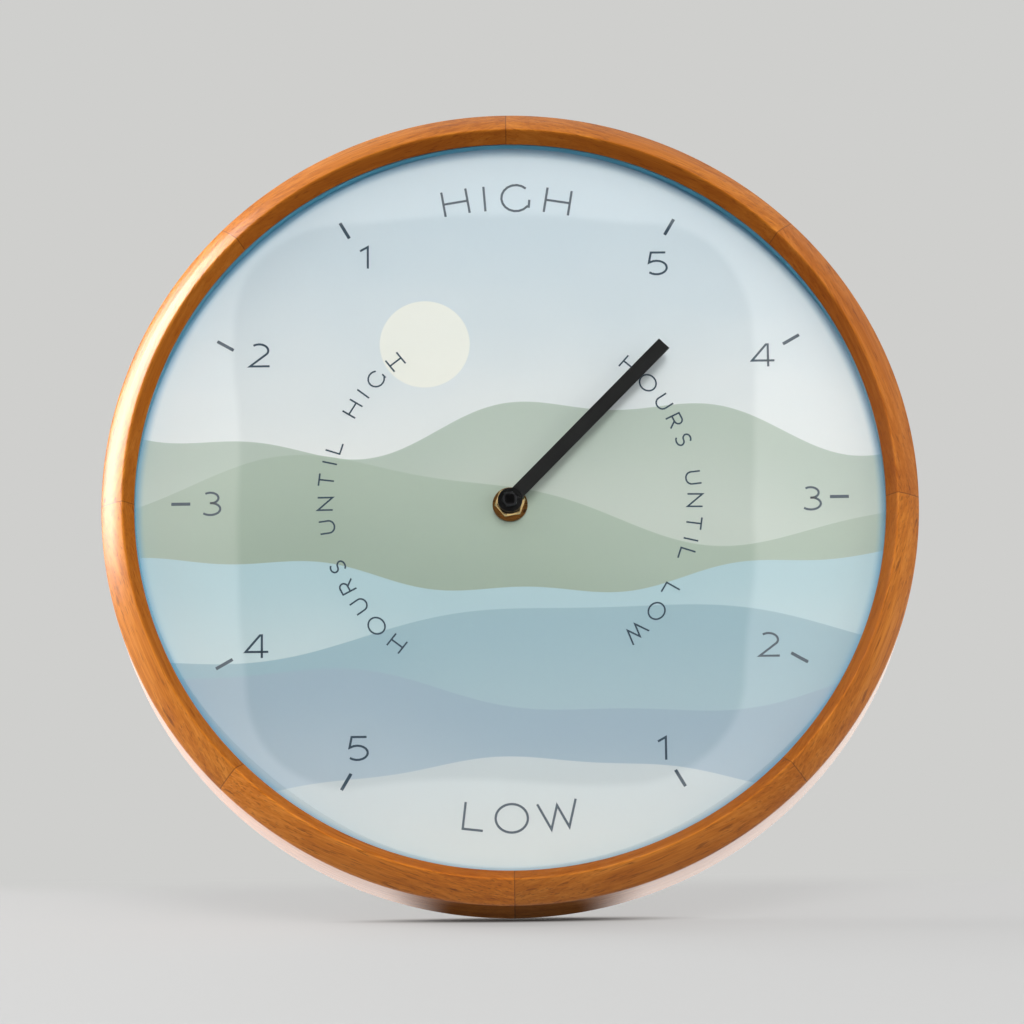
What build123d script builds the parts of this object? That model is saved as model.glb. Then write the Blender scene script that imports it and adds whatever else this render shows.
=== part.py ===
from build123d import *
import os
from math import cos, radians, sin

# Tide clock: a round wall clock with a frame of eight wooden segments, a domed glass, one hand and
# a quartz movement geared for one turn in about 12 hours 25 minutes.
# Millimetres. +Z is up, the dial looks along -Y, and the hand turns about the Y axis.
# A depth is measured backwards from the crest of the frame, which is the foremost line of the clock.
# All angles are in degrees, counter-clockwise from +X as seen from the front.

os.makedirs("parts", exist_ok=True)

# Wooden frame
frame_radius = 150.0
frame_depth = 35.0
segment_count = 8
crest_setback = 8.2
crest_flat = 0.6
crest_spread = 0.8
crest_fall = 0.35
aperture_drop = 5.2
lip_width = 3.3
lip_thickness = 0.8
outer_edge_drop = 8.1
slope_bulge = 0.32
back_edge_chamfer = 1.0
glass_seat_width = 5.0
board_seat_wall = 4.0

# Glass, spacer, dial and board
rabbet_play = 0.3
glass_thickness = 1.5
glass_rim_width = 3.3
dome_rise = 5.6
dome_zones = 4
dial_recess = 6.7
print_thickness = 0.3
board_thickness = 3.0
spacer_wall = 2.7

# Wood screws that hold the board
wood_screw_radius = 1.1
wood_screw_depth = 6.5
wood_screw_head_radius = 2.1
wood_screw_head_height = 1.4
wood_screw_setback = 2.6
board_screw_step = 2
head_bevel = 0.4

# Hand stack
washer_radius = 6.45
washer_thickness = 1.0
nut_across_flats = 10.0
hexagon_sides = 6
nut_height = 3.1
nut_turn = 10.0
nut_chamfer = 0.5
thread_radius = 3.5
thread_reach = 4.6
hand_top = 7.3
hand_thickness = 0.8
hand_width = 5.3
hand_length = 82.6
hand_angle = 45.8
hand_hub_radius = 4.55
hand_collet_radius = 3.3
hand_collet_length = 1.65
cap_across_corners = 6.4
cap_height = 1.5
cap_chamfer = 0.35
cap_turn = 10.0
stud_radius = 1.2
stud_reach = 0.8

# Movement case
hanger_thickness = 0.8
gasket_thickness = 0.5
gasket_radius = 14.0
case_size = 56.0
case_corner = 3.0
case_wall = 1.6
case_floor = 1.2
chamber_depth = 14.1
cover_thickness = 1.2
cover_lip_height = 1.4
cover_lip_wall = 1.0
divider_wall = 1.0
post_radius = 1.8
boss_radius = 2.2
boss_inset = 4.4
boss_side_rise = 3.6
bushing_flange_radius = 5.0
bushing_flange_height = 0.6
fit_gap = 0.05
loose_gap = 0.15
seat_gap = 0.3

# Gear train: the tooth form is in shares of the module and of the tooth pitch
tooth_top_share = 0.75
tooth_foot_share = 1.05
tip_half_share = 0.08
root_half_share = 0.26
tide_teeth, setting_teeth, tide_module = 59, 19, 0.3
setting_wheel_teeth, minute_teeth, minute_module = 40, 10, 0.4
drive_teeth, third_teeth, second_teeth, first_teeth = 64, 60, 40, 48
leaf_count = 8
train_module = 0.25
second_module = 0.32
setting_direction = 90.0
minute_direction = -30.0
third_direction = -27.0
second_direction = 86.0
first_direction = 140.0
rotor_direction = 28.0
thin_wheel = 1.2
setting_wheel_thickness = 1.4
tide_wheel_thickness = 1.6
wheel_gap = 0.4
stack_gap = 0.3
shaft_radius = 0.7
pivot_radius = 0.4
pivot_reach = 0.7
tide_pivot_radius = 1.0
tide_pivot_length = 1.3
bridge_boss_radius = 2.4
minute_collar_radius = 0.96
minute_collar_length = 0.6
friction_spring_radius = 2.1
friction_spring_thickness = 0.2
pipe_radius = 2.5
hand_seat_radius = 2.0
bridge_thickness = 1.0
bridge_screw_reach = 2.8
bridge_screw_head_radius = 1.44
cover_screw_reach = 4.5
cover_screw_head_radius = 1.76
small_head_height = 0.7
bridge_rim = 2.6
bridge_post_places = ((-10.5, -8.0), (12.0, -8.0), (-11.5, 13.5))

# Stepping motor
magnet_radius = 2.2
magnet_length = 1.6
magnet_gap = 0.4
plate_thickness = 0.8
stator_width = 3.0
stator_eye_radius = 5.0
stator_left = 16.5
stator_right = 25.4
leg_width = 3.0
core_height = 23.1
core_width = 2.4
coil_left = -12.5
coil_length = 19.0
coil_radius = 2.5
flange_radius = 2.8
flange_thickness = 0.8
bobbin_wall = 0.5
motor_depth = 5.1
stator_post_radius = 1.2

# Circuit
board_left = 25.9
board_right = 14.9
board_bottom = 5.5
board_top = 15.5
circuit_thickness = 0.8
circuit_rise = 9.3
circuit_post_radius = 1.5
circuit_pin_radius = 0.6
chip_radius = 3.0
chip_height = 1.2
crystal_radius = 1.0
crystal_length = 6.0

# Battery, contacts and setting knob
cell_radius = 7.0
cell_length = 49.0
cell_nub_radius = 2.7
cell_nub_length = 1.2
cell_edge = 0.5
contact_thickness = 0.3
contact_width = 11.0
dimple_radius = 2.4
dimple_taper = 15.0
contact_strip_width = 3.0
contact_rise = 1.5
contact_touch_gap = 0.1
cradle_rib_width = 1.5
cradle_rib_height = 3.0
cradle_offset = 14.0
knob_radius = 7.0
knob_thickness = 1.3
knob_scallops = 12
scallop_radius = 1.0
knob_grip = 0.7

# Hanger plate
hanger_width = 24.0
hanger_tail = 13.0
hanger_head = 27.0
hanger_hole_radius = 4.5
hanger_hole_above_neck = 13.0
hanger_back_clear = 1.0
hanger_corner = 5.0

# Turns and directions
full_turn = 360.0
half_turn = 180.0
twelve_oclock = 90.0

# Radii of the frame that follow
crest_radius = frame_radius - crest_setback
board_rabbet_radius = frame_radius - board_seat_wall
glass_rabbet_radius = board_rabbet_radius - glass_seat_width
aperture_radius = glass_rabbet_radius - lip_width
wood_screw_circle = board_rabbet_radius - wood_screw_setback
segment_angle = full_turn / segment_count

# Depths that follow
aperture_depth = aperture_drop
lip_back = aperture_depth + lip_thickness
glass_back = lip_back + glass_thickness
dial_front = aperture_depth + dial_recess
board_front = dial_front + print_thickness
board_back = board_front + board_thickness
hanger_back = board_back + hanger_thickness
case_front = hanger_back + gasket_thickness
chamber_front = case_front + case_floor
chamber_back = chamber_front + chamber_depth
cover_back = chamber_back + cover_thickness
glass_radius = glass_rabbet_radius - rabbet_play
board_radius = board_rabbet_radius - rabbet_play
hand_front = dial_front - hand_top
hand_back = hand_front + hand_thickness
hand_collet_back = hand_back + hand_collet_length
thread_front = dial_front - thread_reach
case_half = case_size / 2
chamber_half = case_half - case_wall

# Wheel layers, from the floor of the case backwards
tide_layer = chamber_front + stack_gap
setting_layer = tide_layer + tide_wheel_thickness + stack_gap
drive_layer = setting_layer + setting_wheel_thickness + wheel_gap
third_layer = drive_layer + thin_wheel + wheel_gap
second_layer = third_layer + thin_wheel + wheel_gap
first_layer = second_layer + thin_wheel + wheel_gap
bridge_front = first_layer + thin_wheel + stack_gap
bridge_back = bridge_front + bridge_thickness


def face_at(depth):
    """Sketch plane at a depth behind the crest; it faces forwards, so extrusions run to the front."""
    return Plane.XZ.offset(frame_depth / 2 - depth)


def beside(place, distance, direction):
    """The point at a distance and direction from another, in the plane of the dial."""
    across, up = place
    return across + distance * cos(radians(direction)), up + distance * sin(radians(direction))


def centres(teeth, mates, module):
    """Distance between the axes of two wheels in mesh."""
    return (teeth + mates) * module / 2


def tooth_points(place, teeth, module, turn):
    """Outline of a wheel with four points to each tooth; a tooth stands at the turn given."""
    pitch_radius = teeth * module / 2
    top = pitch_radius + tooth_top_share * module
    foot = pitch_radius - tooth_foot_share * module
    corners = ((foot, -root_half_share), (top, -tip_half_share))
    corners += ((top, tip_half_share), (foot, root_half_share))
    step = full_turn / teeth
    return [beside(place, radius, turn + step * (tooth + share))
            for tooth in range(teeth) for radius, share in corners]


def toothed_disc(place, teeth, module, turn, front, thickness):
    """Add a toothed disc to the open part."""
    with BuildSketch(face_at(front + thickness)) as outline:
        with BuildLine():
            Polyline(*tooth_points(place, teeth, module, turn), close=True)
        make_face()
    extrude(outline.sketch, amount=thickness)


def rod(place, radius, front, back, mode=Mode.ADD):
    """Add or cut a round rod between two depths of the open part."""
    with BuildSketch(face_at(back)) as section:
        with Locations(place):
            Circle(radius)
    extrude(section.sketch, amount=back - front, mode=mode)


def facing_gap(direction, teeth):
    """Turn of a wheel whose gap faces back to the wheel that it meshes with."""
    return direction + half_turn + half_turn / teeth


def finish(builder, name):
    """Label a finished piece and write its file."""
    builder.part.label = name
    export_step(builder.part, "parts/" + name + ".step")


# Places of the arbors, each a mesh away from the one before
shaft_place = (0, 0)
setting_place = beside(shaft_place, centres(tide_teeth, setting_teeth, tide_module), setting_direction)
minute_distance = centres(setting_wheel_teeth, minute_teeth, minute_module)
minute_place = beside(setting_place, minute_distance, minute_direction)
third_place = beside(minute_place, centres(drive_teeth, leaf_count, train_module), third_direction)
second_place = beside(third_place, centres(third_teeth, leaf_count, train_module), second_direction)
first_place = beside(second_place, centres(second_teeth, leaf_count, second_module), first_direction)
rotor_place = beside(first_place, centres(first_teeth, leaf_count, train_module), rotor_direction)
train_places = (minute_place, third_place, second_place, first_place, rotor_place)

# Places in the battery bay, which lies below the train
cell_height = -(chamber_half - seat_gap - cell_radius)
cell_depth = chamber_front + seat_gap + cell_radius
divider_top = cell_height + cell_radius + seat_gap + divider_wall
boss_places = (
    (-case_half + boss_inset, case_half - boss_inset),
    (-case_half + boss_inset, divider_top + boss_side_rise - divider_wall),
    (case_half - boss_inset, divider_top + boss_side_rise - divider_wall),
)


# Frame: mitred segments of one profile; every second one is drilled for a screw of the board
for index in range(segment_count):
    start = twelve_oclock - index * segment_angle
    middle = start - segment_angle / 2
    radial = (cos(radians(start)), 0, sin(radians(start)))
    across = (-sin(radians(start)), 0, cos(radians(start)))
    front = -frame_depth / 2
    with BuildPart() as segment:
        with BuildSketch(Plane(origin=(0, 0, 0), x_dir=radial, z_dir=across)):
            with BuildLine():
                outer_edge = (frame_radius, front + outer_edge_drop)
                crest_inside = (crest_radius - crest_spread, front + crest_fall)
                crest_outside = (crest_radius + crest_spread, front + crest_fall)
                crest_left = (crest_radius - crest_flat / 2, front)
                crest_right = (crest_radius + crest_flat / 2, front)
                slope_middle = (
                    (crest_outside[0] + outer_edge[0]) / 2 + slope_bulge,
                    (crest_outside[1] + outer_edge[1]) / 2 - slope_bulge,
                )
                Polyline(
                    crest_inside, crest_left, crest_right, crest_outside,
                    slope_middle,
                    outer_edge,
                    (frame_radius, -front - back_edge_chamfer),
                    (frame_radius - back_edge_chamfer, -front),
                    (board_rabbet_radius, -front),
                    (board_rabbet_radius, front + board_front),
                    (glass_rabbet_radius, front + board_front),
                    (glass_rabbet_radius, front + lip_back),
                    (aperture_radius, front + lip_back),
                    (aperture_radius, front + aperture_depth),
                    close=True,
                )
            make_face()
        revolve(axis=Axis.Y, revolution_arc=segment_angle)
        if index % board_screw_step == 0:
            rod(beside(shaft_place, wood_screw_circle, middle), wood_screw_radius + fit_gap,
                board_front - wood_screw_depth - seat_gap, board_front, Mode.SUBTRACT)
    finish(segment, "frame_segment_" + str(index + 1))


# Domed glass: a flat rim that seats behind the frame's lip, with a shallow cap inside it
rim_inner = glass_radius - glass_rim_width
front = -frame_depth / 2


def dome_points(rim_depth):
    """Points from the centre to the rim of the cap, on chords of its shallow curve."""
    points = []
    for zone in range(dome_zones + 1):
        share = zone / dome_zones
        points.append((rim_inner * share, front + rim_depth - dome_rise * (1 - share ** 2)))
    return points


with BuildPart() as glass_lens:
    with BuildSketch(Plane.XY):
        with BuildLine():
            outside = dome_points(lip_back)
            inside = dome_points(glass_back)
            rim = [(glass_radius, front + lip_back), (glass_radius, front + glass_back)]
            Polyline(*outside, *rim, *reversed(inside), close=True)
        make_face()
    revolve(axis=Axis.Y)
finish(glass_lens, "glass_lens")

# Spacer ring that keeps the glass and the dial apart
with BuildPart() as spacer_ring:
    rod(shaft_place, glass_radius, glass_back, dial_front)
    rod(shaft_place, glass_radius - spacer_wall, glass_back, dial_front, Mode.SUBTRACT)
finish(spacer_ring, "spacer_ring")

# Dial: a printed disc on a stiff board
with BuildPart() as dial_print:
    rod(shaft_place, glass_radius, dial_front, board_front)
    rod(shaft_place, thread_radius + loose_gap, dial_front, board_front, Mode.SUBTRACT)
finish(dial_print, "dial_print")

screw_places = [beside(shaft_place, wood_screw_circle, twelve_oclock - segment_angle * (index + 1 / 2))
                for index in range(0, segment_count, board_screw_step)]
with BuildPart() as dial_board:
    rod(shaft_place, board_radius, board_front, board_back)
    rod(shaft_place, thread_radius + loose_gap, board_front, board_back, Mode.SUBTRACT)
    for place in screw_places:
        rod(place, wood_screw_radius + loose_gap, board_front, board_back, Mode.SUBTRACT)
finish(dial_board, "dial_board")


def pan_screw(place, radius, head_radius, head_height, seat, reach):
    """Add a screw that enters forwards from its seat, with a bevelled round head behind it."""
    rod(place, radius, seat - reach, seat)
    rod(place, head_radius, seat, seat + head_height)
    chamfer(edges().filter_by(GeomType.CIRCLE).group_by(Axis.Y)[-1], head_bevel)


def screw_group(name, places, radius, head_radius, head_height, seat, reach):
    """Write one node that holds a like screw at each place."""
    with BuildPart() as sample:
        pan_screw(shaft_place, radius, head_radius, head_height, seat, reach)
    with BuildPart() as group:
        with Locations(*[(across, 0, up) for across, up in places]):
            add(sample.part)
    finish(group, name)


screw_group("board_screws", screw_places, wood_screw_radius, wood_screw_head_radius,
            wood_screw_head_height, board_back, wood_screw_depth)

# Washer and nut that clamp the movement to the dial, on the threaded bushing
with BuildPart() as shaft_washer:
    rod(shaft_place, washer_radius, dial_front - washer_thickness, dial_front)
    rod(shaft_place, thread_radius + fit_gap, dial_front - washer_thickness, dial_front, Mode.SUBTRACT)
finish(shaft_washer, "shaft_washer")

nut_back = dial_front - washer_thickness
nut_corner_radius = nut_across_flats / 2 / cos(radians(half_turn / hexagon_sides))
with BuildPart() as shaft_nut:
    rod(shaft_place, nut_corner_radius, nut_back - nut_height, nut_back)
    chamfer(edges().filter_by(GeomType.CIRCLE), nut_chamfer)
    with BuildSketch(face_at(nut_back)) as nut_section:
        RegularPolygon(nut_across_flats / 2, hexagon_sides, major_radius=False, rotation=nut_turn)
    extrude(nut_section.sketch, amount=nut_height, mode=Mode.INTERSECT)
    rod(shaft_place, thread_radius + fit_gap, nut_back - nut_height, nut_back, Mode.SUBTRACT)
finish(shaft_nut, "shaft_nut")

flange_front = chamber_front - bushing_flange_height
with BuildPart() as threaded_bushing:
    rod(shaft_place, thread_radius, thread_front, chamber_front)
    rod(shaft_place, bushing_flange_radius, flange_front, chamber_front)
    rod(shaft_place, pipe_radius + fit_gap, thread_front, chamber_front, Mode.SUBTRACT)
finish(threaded_bushing, "threaded_bushing")


# Movement case: an open box with the train above the divider and the battery bay below it
def case_block(back, size, corner, wall_front, mode=Mode.ADD):
    """Add or cut a square block with rounded corners between two depths."""
    with BuildSketch(face_at(back)) as block:
        RectangleRounded(size, size, corner)
    extrude(block.sketch, amount=back - wall_front, mode=mode)


def bar(left, right, bottom, top, front_depth, back_depth, mode=Mode.ADD):
    """Add or cut a straight bar given by its edges as seen from the front."""
    with BuildSketch(face_at(back_depth)) as section:
        with Locations(((left + right) / 2, (bottom + top) / 2)):
            Rectangle(right - left, top - bottom)
    extrude(section.sketch, amount=back_depth - front_depth, mode=mode)


stator_top = core_height - flange_radius - loose_gap


def post(place, half, front_depth, back_depth, mode=Mode.ADD):
    """Add or cut a square post, given by half of its width."""
    across, up = place
    bar(across - half, across + half, up - half, up + half, front_depth, back_depth, mode)


stator_places = (
    (-stator_left + leg_width / 2, stator_top - stator_width / 2),
    (stator_right - leg_width / 2, stator_top - stator_width / 2),
)
circuit_post_across = -(board_left + board_right) / 2
circuit_places = (
    (circuit_post_across, -board_bottom + circuit_post_radius),
    (circuit_post_across, board_top - circuit_post_radius),
)
stator_front = chamber_front + motor_depth - plate_thickness
circuit_front = chamber_front + circuit_rise
circuit_back = circuit_front + circuit_thickness
pivot_front = tide_layer - seat_gap - pivot_reach
notch_front = chamber_back - cover_lip_height - contact_strip_width - loose_gap

with BuildPart() as movement_case:
    case_block(chamber_back, case_size, case_corner, case_front)
    case_block(chamber_back, 2 * chamber_half, case_corner - case_wall, chamber_front, Mode.SUBTRACT)
    bar(-chamber_half, chamber_half, divider_top - divider_wall, divider_top, chamber_front, chamber_back)
    for side in (-cradle_offset, cradle_offset):
        bar(side - cradle_rib_width / 2, side + cradle_rib_width / 2, -chamber_half,
            divider_top - divider_wall, chamber_front, chamber_front + cradle_rib_height)
    with BuildSketch(Plane.YZ.offset(-chamber_half)) as cell_hollow:
        with Locations((cell_depth - frame_depth / 2, cell_height)):
            Circle(cell_radius + loose_gap)
    extrude(cell_hollow.sketch, amount=2 * chamber_half, mode=Mode.SUBTRACT)
    for place in bridge_post_places:
        post(place, post_radius, chamber_front, bridge_front)
        rod(place, pivot_radius + fit_gap, bridge_front - bridge_screw_reach - fit_gap,
            bridge_front, Mode.SUBTRACT)
    for place in boss_places:
        post(place, boss_radius, chamber_front, chamber_back)
        rod(place, shaft_radius + fit_gap, chamber_back - cover_screw_reach, chamber_back, Mode.SUBTRACT)
    for place in stator_places:
        post(place, stator_post_radius, chamber_front, stator_front)
    for place in circuit_places:
        post(place, circuit_post_radius, chamber_front, circuit_front)
        post(place, circuit_pin_radius, circuit_front, circuit_back)
    for place in train_places + (setting_place,):
        rod(place, pivot_radius + fit_gap, pivot_front - fit_gap, chamber_front, Mode.SUBTRACT)
    for side in (-1, 1):
        inner = side * (chamber_half - contact_thickness - loose_gap)
        bar(min(inner, side * chamber_half), max(inner, side * chamber_half),
            divider_top - divider_wall, divider_top, notch_front, chamber_back, Mode.SUBTRACT)
    rod(shaft_place, thread_radius + loose_gap, case_front, chamber_front, Mode.SUBTRACT)
    rod(shaft_place, bushing_flange_radius + fit_gap, flange_front, chamber_front, Mode.SUBTRACT)
finish(movement_case, "movement_case")

with BuildPart() as case_gasket:
    rod(shaft_place, gasket_radius, hanger_back, case_front)
    rod(shaft_place, thread_radius + loose_gap, hanger_back, case_front, Mode.SUBTRACT)
finish(case_gasket, "case_gasket")

# Hanger: a steel plate clamped under the movement, cranked back past the case to a round hanging hole
neck_bottom = case_half + seat_gap
hanger_rear = frame_depth - hanger_back_clear
hanger_hole_up = neck_bottom + hanger_hole_above_neck
with BuildPart() as hanger_plate:
    bar(-hanger_width / 2, hanger_width / 2, -hanger_tail, neck_bottom + hanger_thickness,
        board_back, hanger_back)
    bar(-hanger_width / 2, hanger_width / 2, neck_bottom, neck_bottom + hanger_thickness,
        board_back, hanger_rear)
    bar(-hanger_width / 2, hanger_width / 2, neck_bottom, neck_bottom + hanger_head,
        hanger_rear - hanger_thickness, hanger_rear)
    fillet(edges().filter_by(Axis.Y).group_by(Axis.Z)[-1], hanger_corner)
    fillet(edges().filter_by(Axis.Y).group_by(Axis.Z)[0], hanger_corner)
    rod((0, hanger_hole_up), hanger_hole_radius, hanger_rear - hanger_thickness, hanger_rear, Mode.SUBTRACT)
    rod(shaft_place, thread_radius + loose_gap, board_back, hanger_back, Mode.SUBTRACT)
finish(hanger_plate, "hanger_plate")

# Rear cover of the train, with a lip inside the case walls; the battery bay stays open
lip_half = chamber_half - loose_gap
lip_front = chamber_back - cover_lip_height
with BuildPart() as movement_cover:
    case_block(chamber_back, 2 * lip_half, case_corner - case_wall, lip_front)
    bar(-case_half, case_half, -case_half, divider_top + loose_gap, lip_front, chamber_back, Mode.SUBTRACT)
    bar(-lip_half + cover_lip_wall, lip_half - cover_lip_wall, divider_top + loose_gap,
        lip_half - cover_lip_wall, lip_front, chamber_back, Mode.SUBTRACT)
    case_block(cover_back, case_size, case_corner, chamber_back)
    bar(-case_half, case_half, -case_half, divider_top - divider_wall, chamber_back, cover_back,
        Mode.SUBTRACT)
    for place in boss_places:
        post(place, boss_radius + loose_gap, lip_front, chamber_back, Mode.SUBTRACT)
        rod(place, shaft_radius + loose_gap, chamber_back, cover_back, Mode.SUBTRACT)
    rod(setting_place, shaft_radius + loose_gap, chamber_back, cover_back, Mode.SUBTRACT)
finish(movement_cover, "movement_cover")
screw_group("cover_screws", boss_places, shaft_radius, cover_screw_head_radius, small_head_height,
            cover_back, cover_screw_reach)

# Train bridge: a plate on three posts that carries the rear pivots, with a long boss over the hand arbor
boss_front = setting_layer
with BuildPart() as train_bridge:
    with BuildSketch(face_at(bridge_back)):
        with Locations(*bridge_post_places, third_place, second_place, rotor_place):
            Circle(bridge_rim)
        make_hull()
    extrude(amount=bridge_thickness)
    rod(shaft_place, bridge_boss_radius, boss_front, bridge_back)
    rod(shaft_place, tide_pivot_radius + fit_gap, boss_front, boss_front + tide_pivot_length + seat_gap,
        Mode.SUBTRACT)
    for place in train_places:
        rod(place, pivot_radius + fit_gap, bridge_front, bridge_back, Mode.SUBTRACT)
    for place in bridge_post_places:
        rod(place, pivot_radius + fit_gap, bridge_front, bridge_back, Mode.SUBTRACT)
    rod(setting_place, shaft_radius + fit_gap, bridge_front, bridge_back, Mode.SUBTRACT)
finish(train_bridge, "train_bridge")
screw_group("bridge_screws", bridge_post_places, pivot_radius, bridge_screw_head_radius, small_head_height,
            bridge_back, bridge_thickness + bridge_screw_reach - fit_gap)


def arbor(place):
    """Add the plain arbor of a train wheel; its ends are its pivots."""
    rod(place, pivot_radius, pivot_front, bridge_front + pivot_reach)


# Hand arbor: the slow wheel and the pipe that carries the hand out through the bushing
with BuildPart() as tide_wheel:
    toothed_disc(shaft_place, tide_teeth, tide_module, setting_direction, tide_layer, tide_wheel_thickness)
    rod(shaft_place, pipe_radius, hand_collet_back, tide_layer + tide_wheel_thickness)
    rod(shaft_place, hand_seat_radius, hand_front, tide_layer)
    rod(shaft_place, stud_radius, hand_front - stud_reach, hand_front)
    rod(shaft_place, tide_pivot_radius, tide_layer, setting_layer + tide_pivot_length)
finish(tide_wheel, "tide_wheel")

with BuildPart() as tide_hand:
    with BuildSketch(face_at(hand_back)):
        Circle(hand_hub_radius)
        with Locations(Location(beside(shaft_place, hand_length / 2, hand_angle), hand_angle)):
            Rectangle(hand_length, hand_width)
    extrude(amount=hand_thickness)
    rod(shaft_place, hand_collet_radius, hand_front, hand_collet_back - fit_gap)
    rod(shaft_place, hand_seat_radius + fit_gap, hand_front, hand_collet_back, Mode.SUBTRACT)
finish(tide_hand, "tide_hand")

with BuildPart() as hand_cap_nut:
    with BuildSketch(face_at(hand_front)):
        RegularPolygon(cap_across_corners / 2, hexagon_sides, rotation=cap_turn)
    extrude(amount=cap_height)
    chamfer(faces().sort_by(Axis.Y)[0].edges(), cap_chamfer)
    rod(shaft_place, stud_radius + fit_gap, hand_front - stud_reach - fit_gap, hand_front, Mode.SUBTRACT)
finish(hand_cap_nut, "hand_cap_nut")

# Setting wheel, its pinion under the slow wheel, and the knob at the back
knob_front = cover_back + seat_gap
with BuildPart() as setting_wheel:
    rod(setting_place, pivot_radius, pivot_front, tide_layer)
    toothed_disc(setting_place, setting_teeth, tide_module, facing_gap(setting_direction, setting_teeth),
                 tide_layer, setting_layer - tide_layer)
    toothed_disc(setting_place, setting_wheel_teeth, minute_module, minute_direction,
                 setting_layer, setting_wheel_thickness)
    rod(setting_place, shaft_radius, setting_layer, knob_front + knob_grip)
finish(setting_wheel, "setting_wheel")

with BuildPart() as setting_knob:
    rod(setting_place, knob_radius, knob_front, knob_front + knob_thickness)
    with BuildSketch(face_at(knob_front + knob_thickness)) as scallops:
        with Locations(setting_place):
            with PolarLocations(knob_radius, knob_scallops):
                Circle(scallop_radius)
    extrude(scallops.sketch, amount=knob_thickness, mode=Mode.SUBTRACT)
    rod(setting_place, shaft_radius + fit_gap / 2, knob_front, knob_front + knob_grip, Mode.SUBTRACT)
finish(setting_knob, "setting_knob")

# Minute arbor with its pinion; the driving wheel turns it through a friction spring
spring_front = drive_layer + thin_wheel
spring_back = spring_front + friction_spring_thickness
with BuildPart() as minute_pinion:
    arbor(minute_place)
    toothed_disc(minute_place, minute_teeth, minute_module, facing_gap(minute_direction, minute_teeth),
                 setting_layer, setting_wheel_thickness)
    rod(minute_place, minute_collar_radius, spring_back, spring_back + minute_collar_length)
finish(minute_pinion, "minute_pinion")

with BuildPart() as friction_spring:
    rod(minute_place, friction_spring_radius, spring_front, spring_back)
    rod(minute_place, pivot_radius + fit_gap, spring_front, spring_back, Mode.SUBTRACT)
finish(friction_spring, "friction_spring")

with BuildPart() as minute_wheel:
    toothed_disc(minute_place, drive_teeth, train_module, third_direction, drive_layer, thin_wheel)
    rod(minute_place, pivot_radius + fit_gap, drive_layer, spring_front, Mode.SUBTRACT)
finish(minute_wheel, "minute_wheel")


train = (
    ("third_wheel", third_place, third_teeth, train_module, train_module,
     third_direction, second_direction, drive_layer, third_layer),
    ("second_wheel", second_place, second_teeth, second_module, train_module,
     second_direction, first_direction, third_layer, second_layer),
    ("first_wheel", first_place, first_teeth, train_module, second_module,
     first_direction, rotor_direction, second_layer, first_layer),
)
for name, place, teeth, module, leaf_module, driven_from, drives_to, leaf_layer, wheel_layer in train:
    with BuildPart() as train_wheel:
        arbor(place)
        toothed_disc(place, leaf_count, leaf_module, facing_gap(driven_from, leaf_count), leaf_layer, thin_wheel)
        toothed_disc(place, teeth, module, drives_to, wheel_layer, thin_wheel)
    finish(train_wheel, name)

with BuildPart() as rotor_pinion:
    arbor(rotor_place)
    toothed_disc(rotor_place, leaf_count, train_module, facing_gap(rotor_direction, leaf_count), first_layer, thin_wheel)
finish(rotor_pinion, "rotor_pinion")

magnet_front = stator_front - (magnet_length - plate_thickness) / 2
with BuildPart() as rotor_magnet:
    rod(rotor_place, magnet_radius, magnet_front, magnet_front + magnet_length)
    rod(rotor_place, pivot_radius, magnet_front, magnet_front + magnet_length, Mode.SUBTRACT)
finish(rotor_magnet, "rotor_magnet")

# Stepping motor: the stator with an eye round the magnet, and the coil's core behind its ends
stator_back = stator_front + plate_thickness
with BuildPart() as stator:
    bar(-stator_left, stator_right, stator_top - stator_width, stator_top, stator_front, stator_back)
    rod(rotor_place, stator_eye_radius, stator_front, stator_back)
    rod(rotor_place, magnet_radius + magnet_gap, stator_front, stator_back, Mode.SUBTRACT)
finish(stator, "stator")

core_back = stator_back + plate_thickness
core_bottom, core_top = core_height - core_width / 2, core_height + core_width / 2
with BuildPart() as coil_core:
    bar(-stator_left, stator_right, core_bottom, core_top, stator_back, core_back)
    for leg in (-stator_left, stator_right - leg_width):
        bar(leg, leg + leg_width, stator_top - stator_width, core_top, stator_back, core_back)
finish(coil_core, "coil_core")


def coil_part(radius, left, length, mode=Mode.ADD):
    """Add or cut a round along the coil's axis, which lies across the case."""
    with BuildSketch(Plane.YZ.offset(left)) as round_section:
        with Locations(((stator_back + core_back - frame_depth) / 2, core_height)):
            Circle(radius)
    extrude(round_section.sketch, amount=length, mode=mode)


tube_radius = (core_width ** 2 + plate_thickness ** 2) ** 0.5 / 2 + bobbin_wall
with BuildPart() as coil_bobbin:
    coil_part(tube_radius, coil_left, coil_length)
    coil_part(flange_radius, coil_left, flange_thickness)
    coil_part(flange_radius, coil_left + coil_length - flange_thickness, flange_thickness)
    bar(coil_left, coil_left + coil_length, core_bottom - fit_gap, core_top + fit_gap,
        stator_back - fit_gap, core_back + fit_gap, Mode.SUBTRACT)
finish(coil_bobbin, "coil_bobbin")

with BuildPart() as coil_winding:
    coil_part(coil_radius, coil_left + flange_thickness, coil_length - 2 * flange_thickness)
    coil_part(tube_radius, coil_left + flange_thickness, coil_length - 2 * flange_thickness, Mode.SUBTRACT)
finish(coil_winding, "coil_winding")

# Circuit board with its chip and the quartz crystal
with BuildPart() as circuit_board:
    bar(-board_left, -board_right, -board_bottom, board_top, circuit_front, circuit_back)
    for place in circuit_places:
        post(place, circuit_pin_radius + fit_gap, circuit_front, circuit_back, Mode.SUBTRACT)
finish(circuit_board, "circuit_board")

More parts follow.
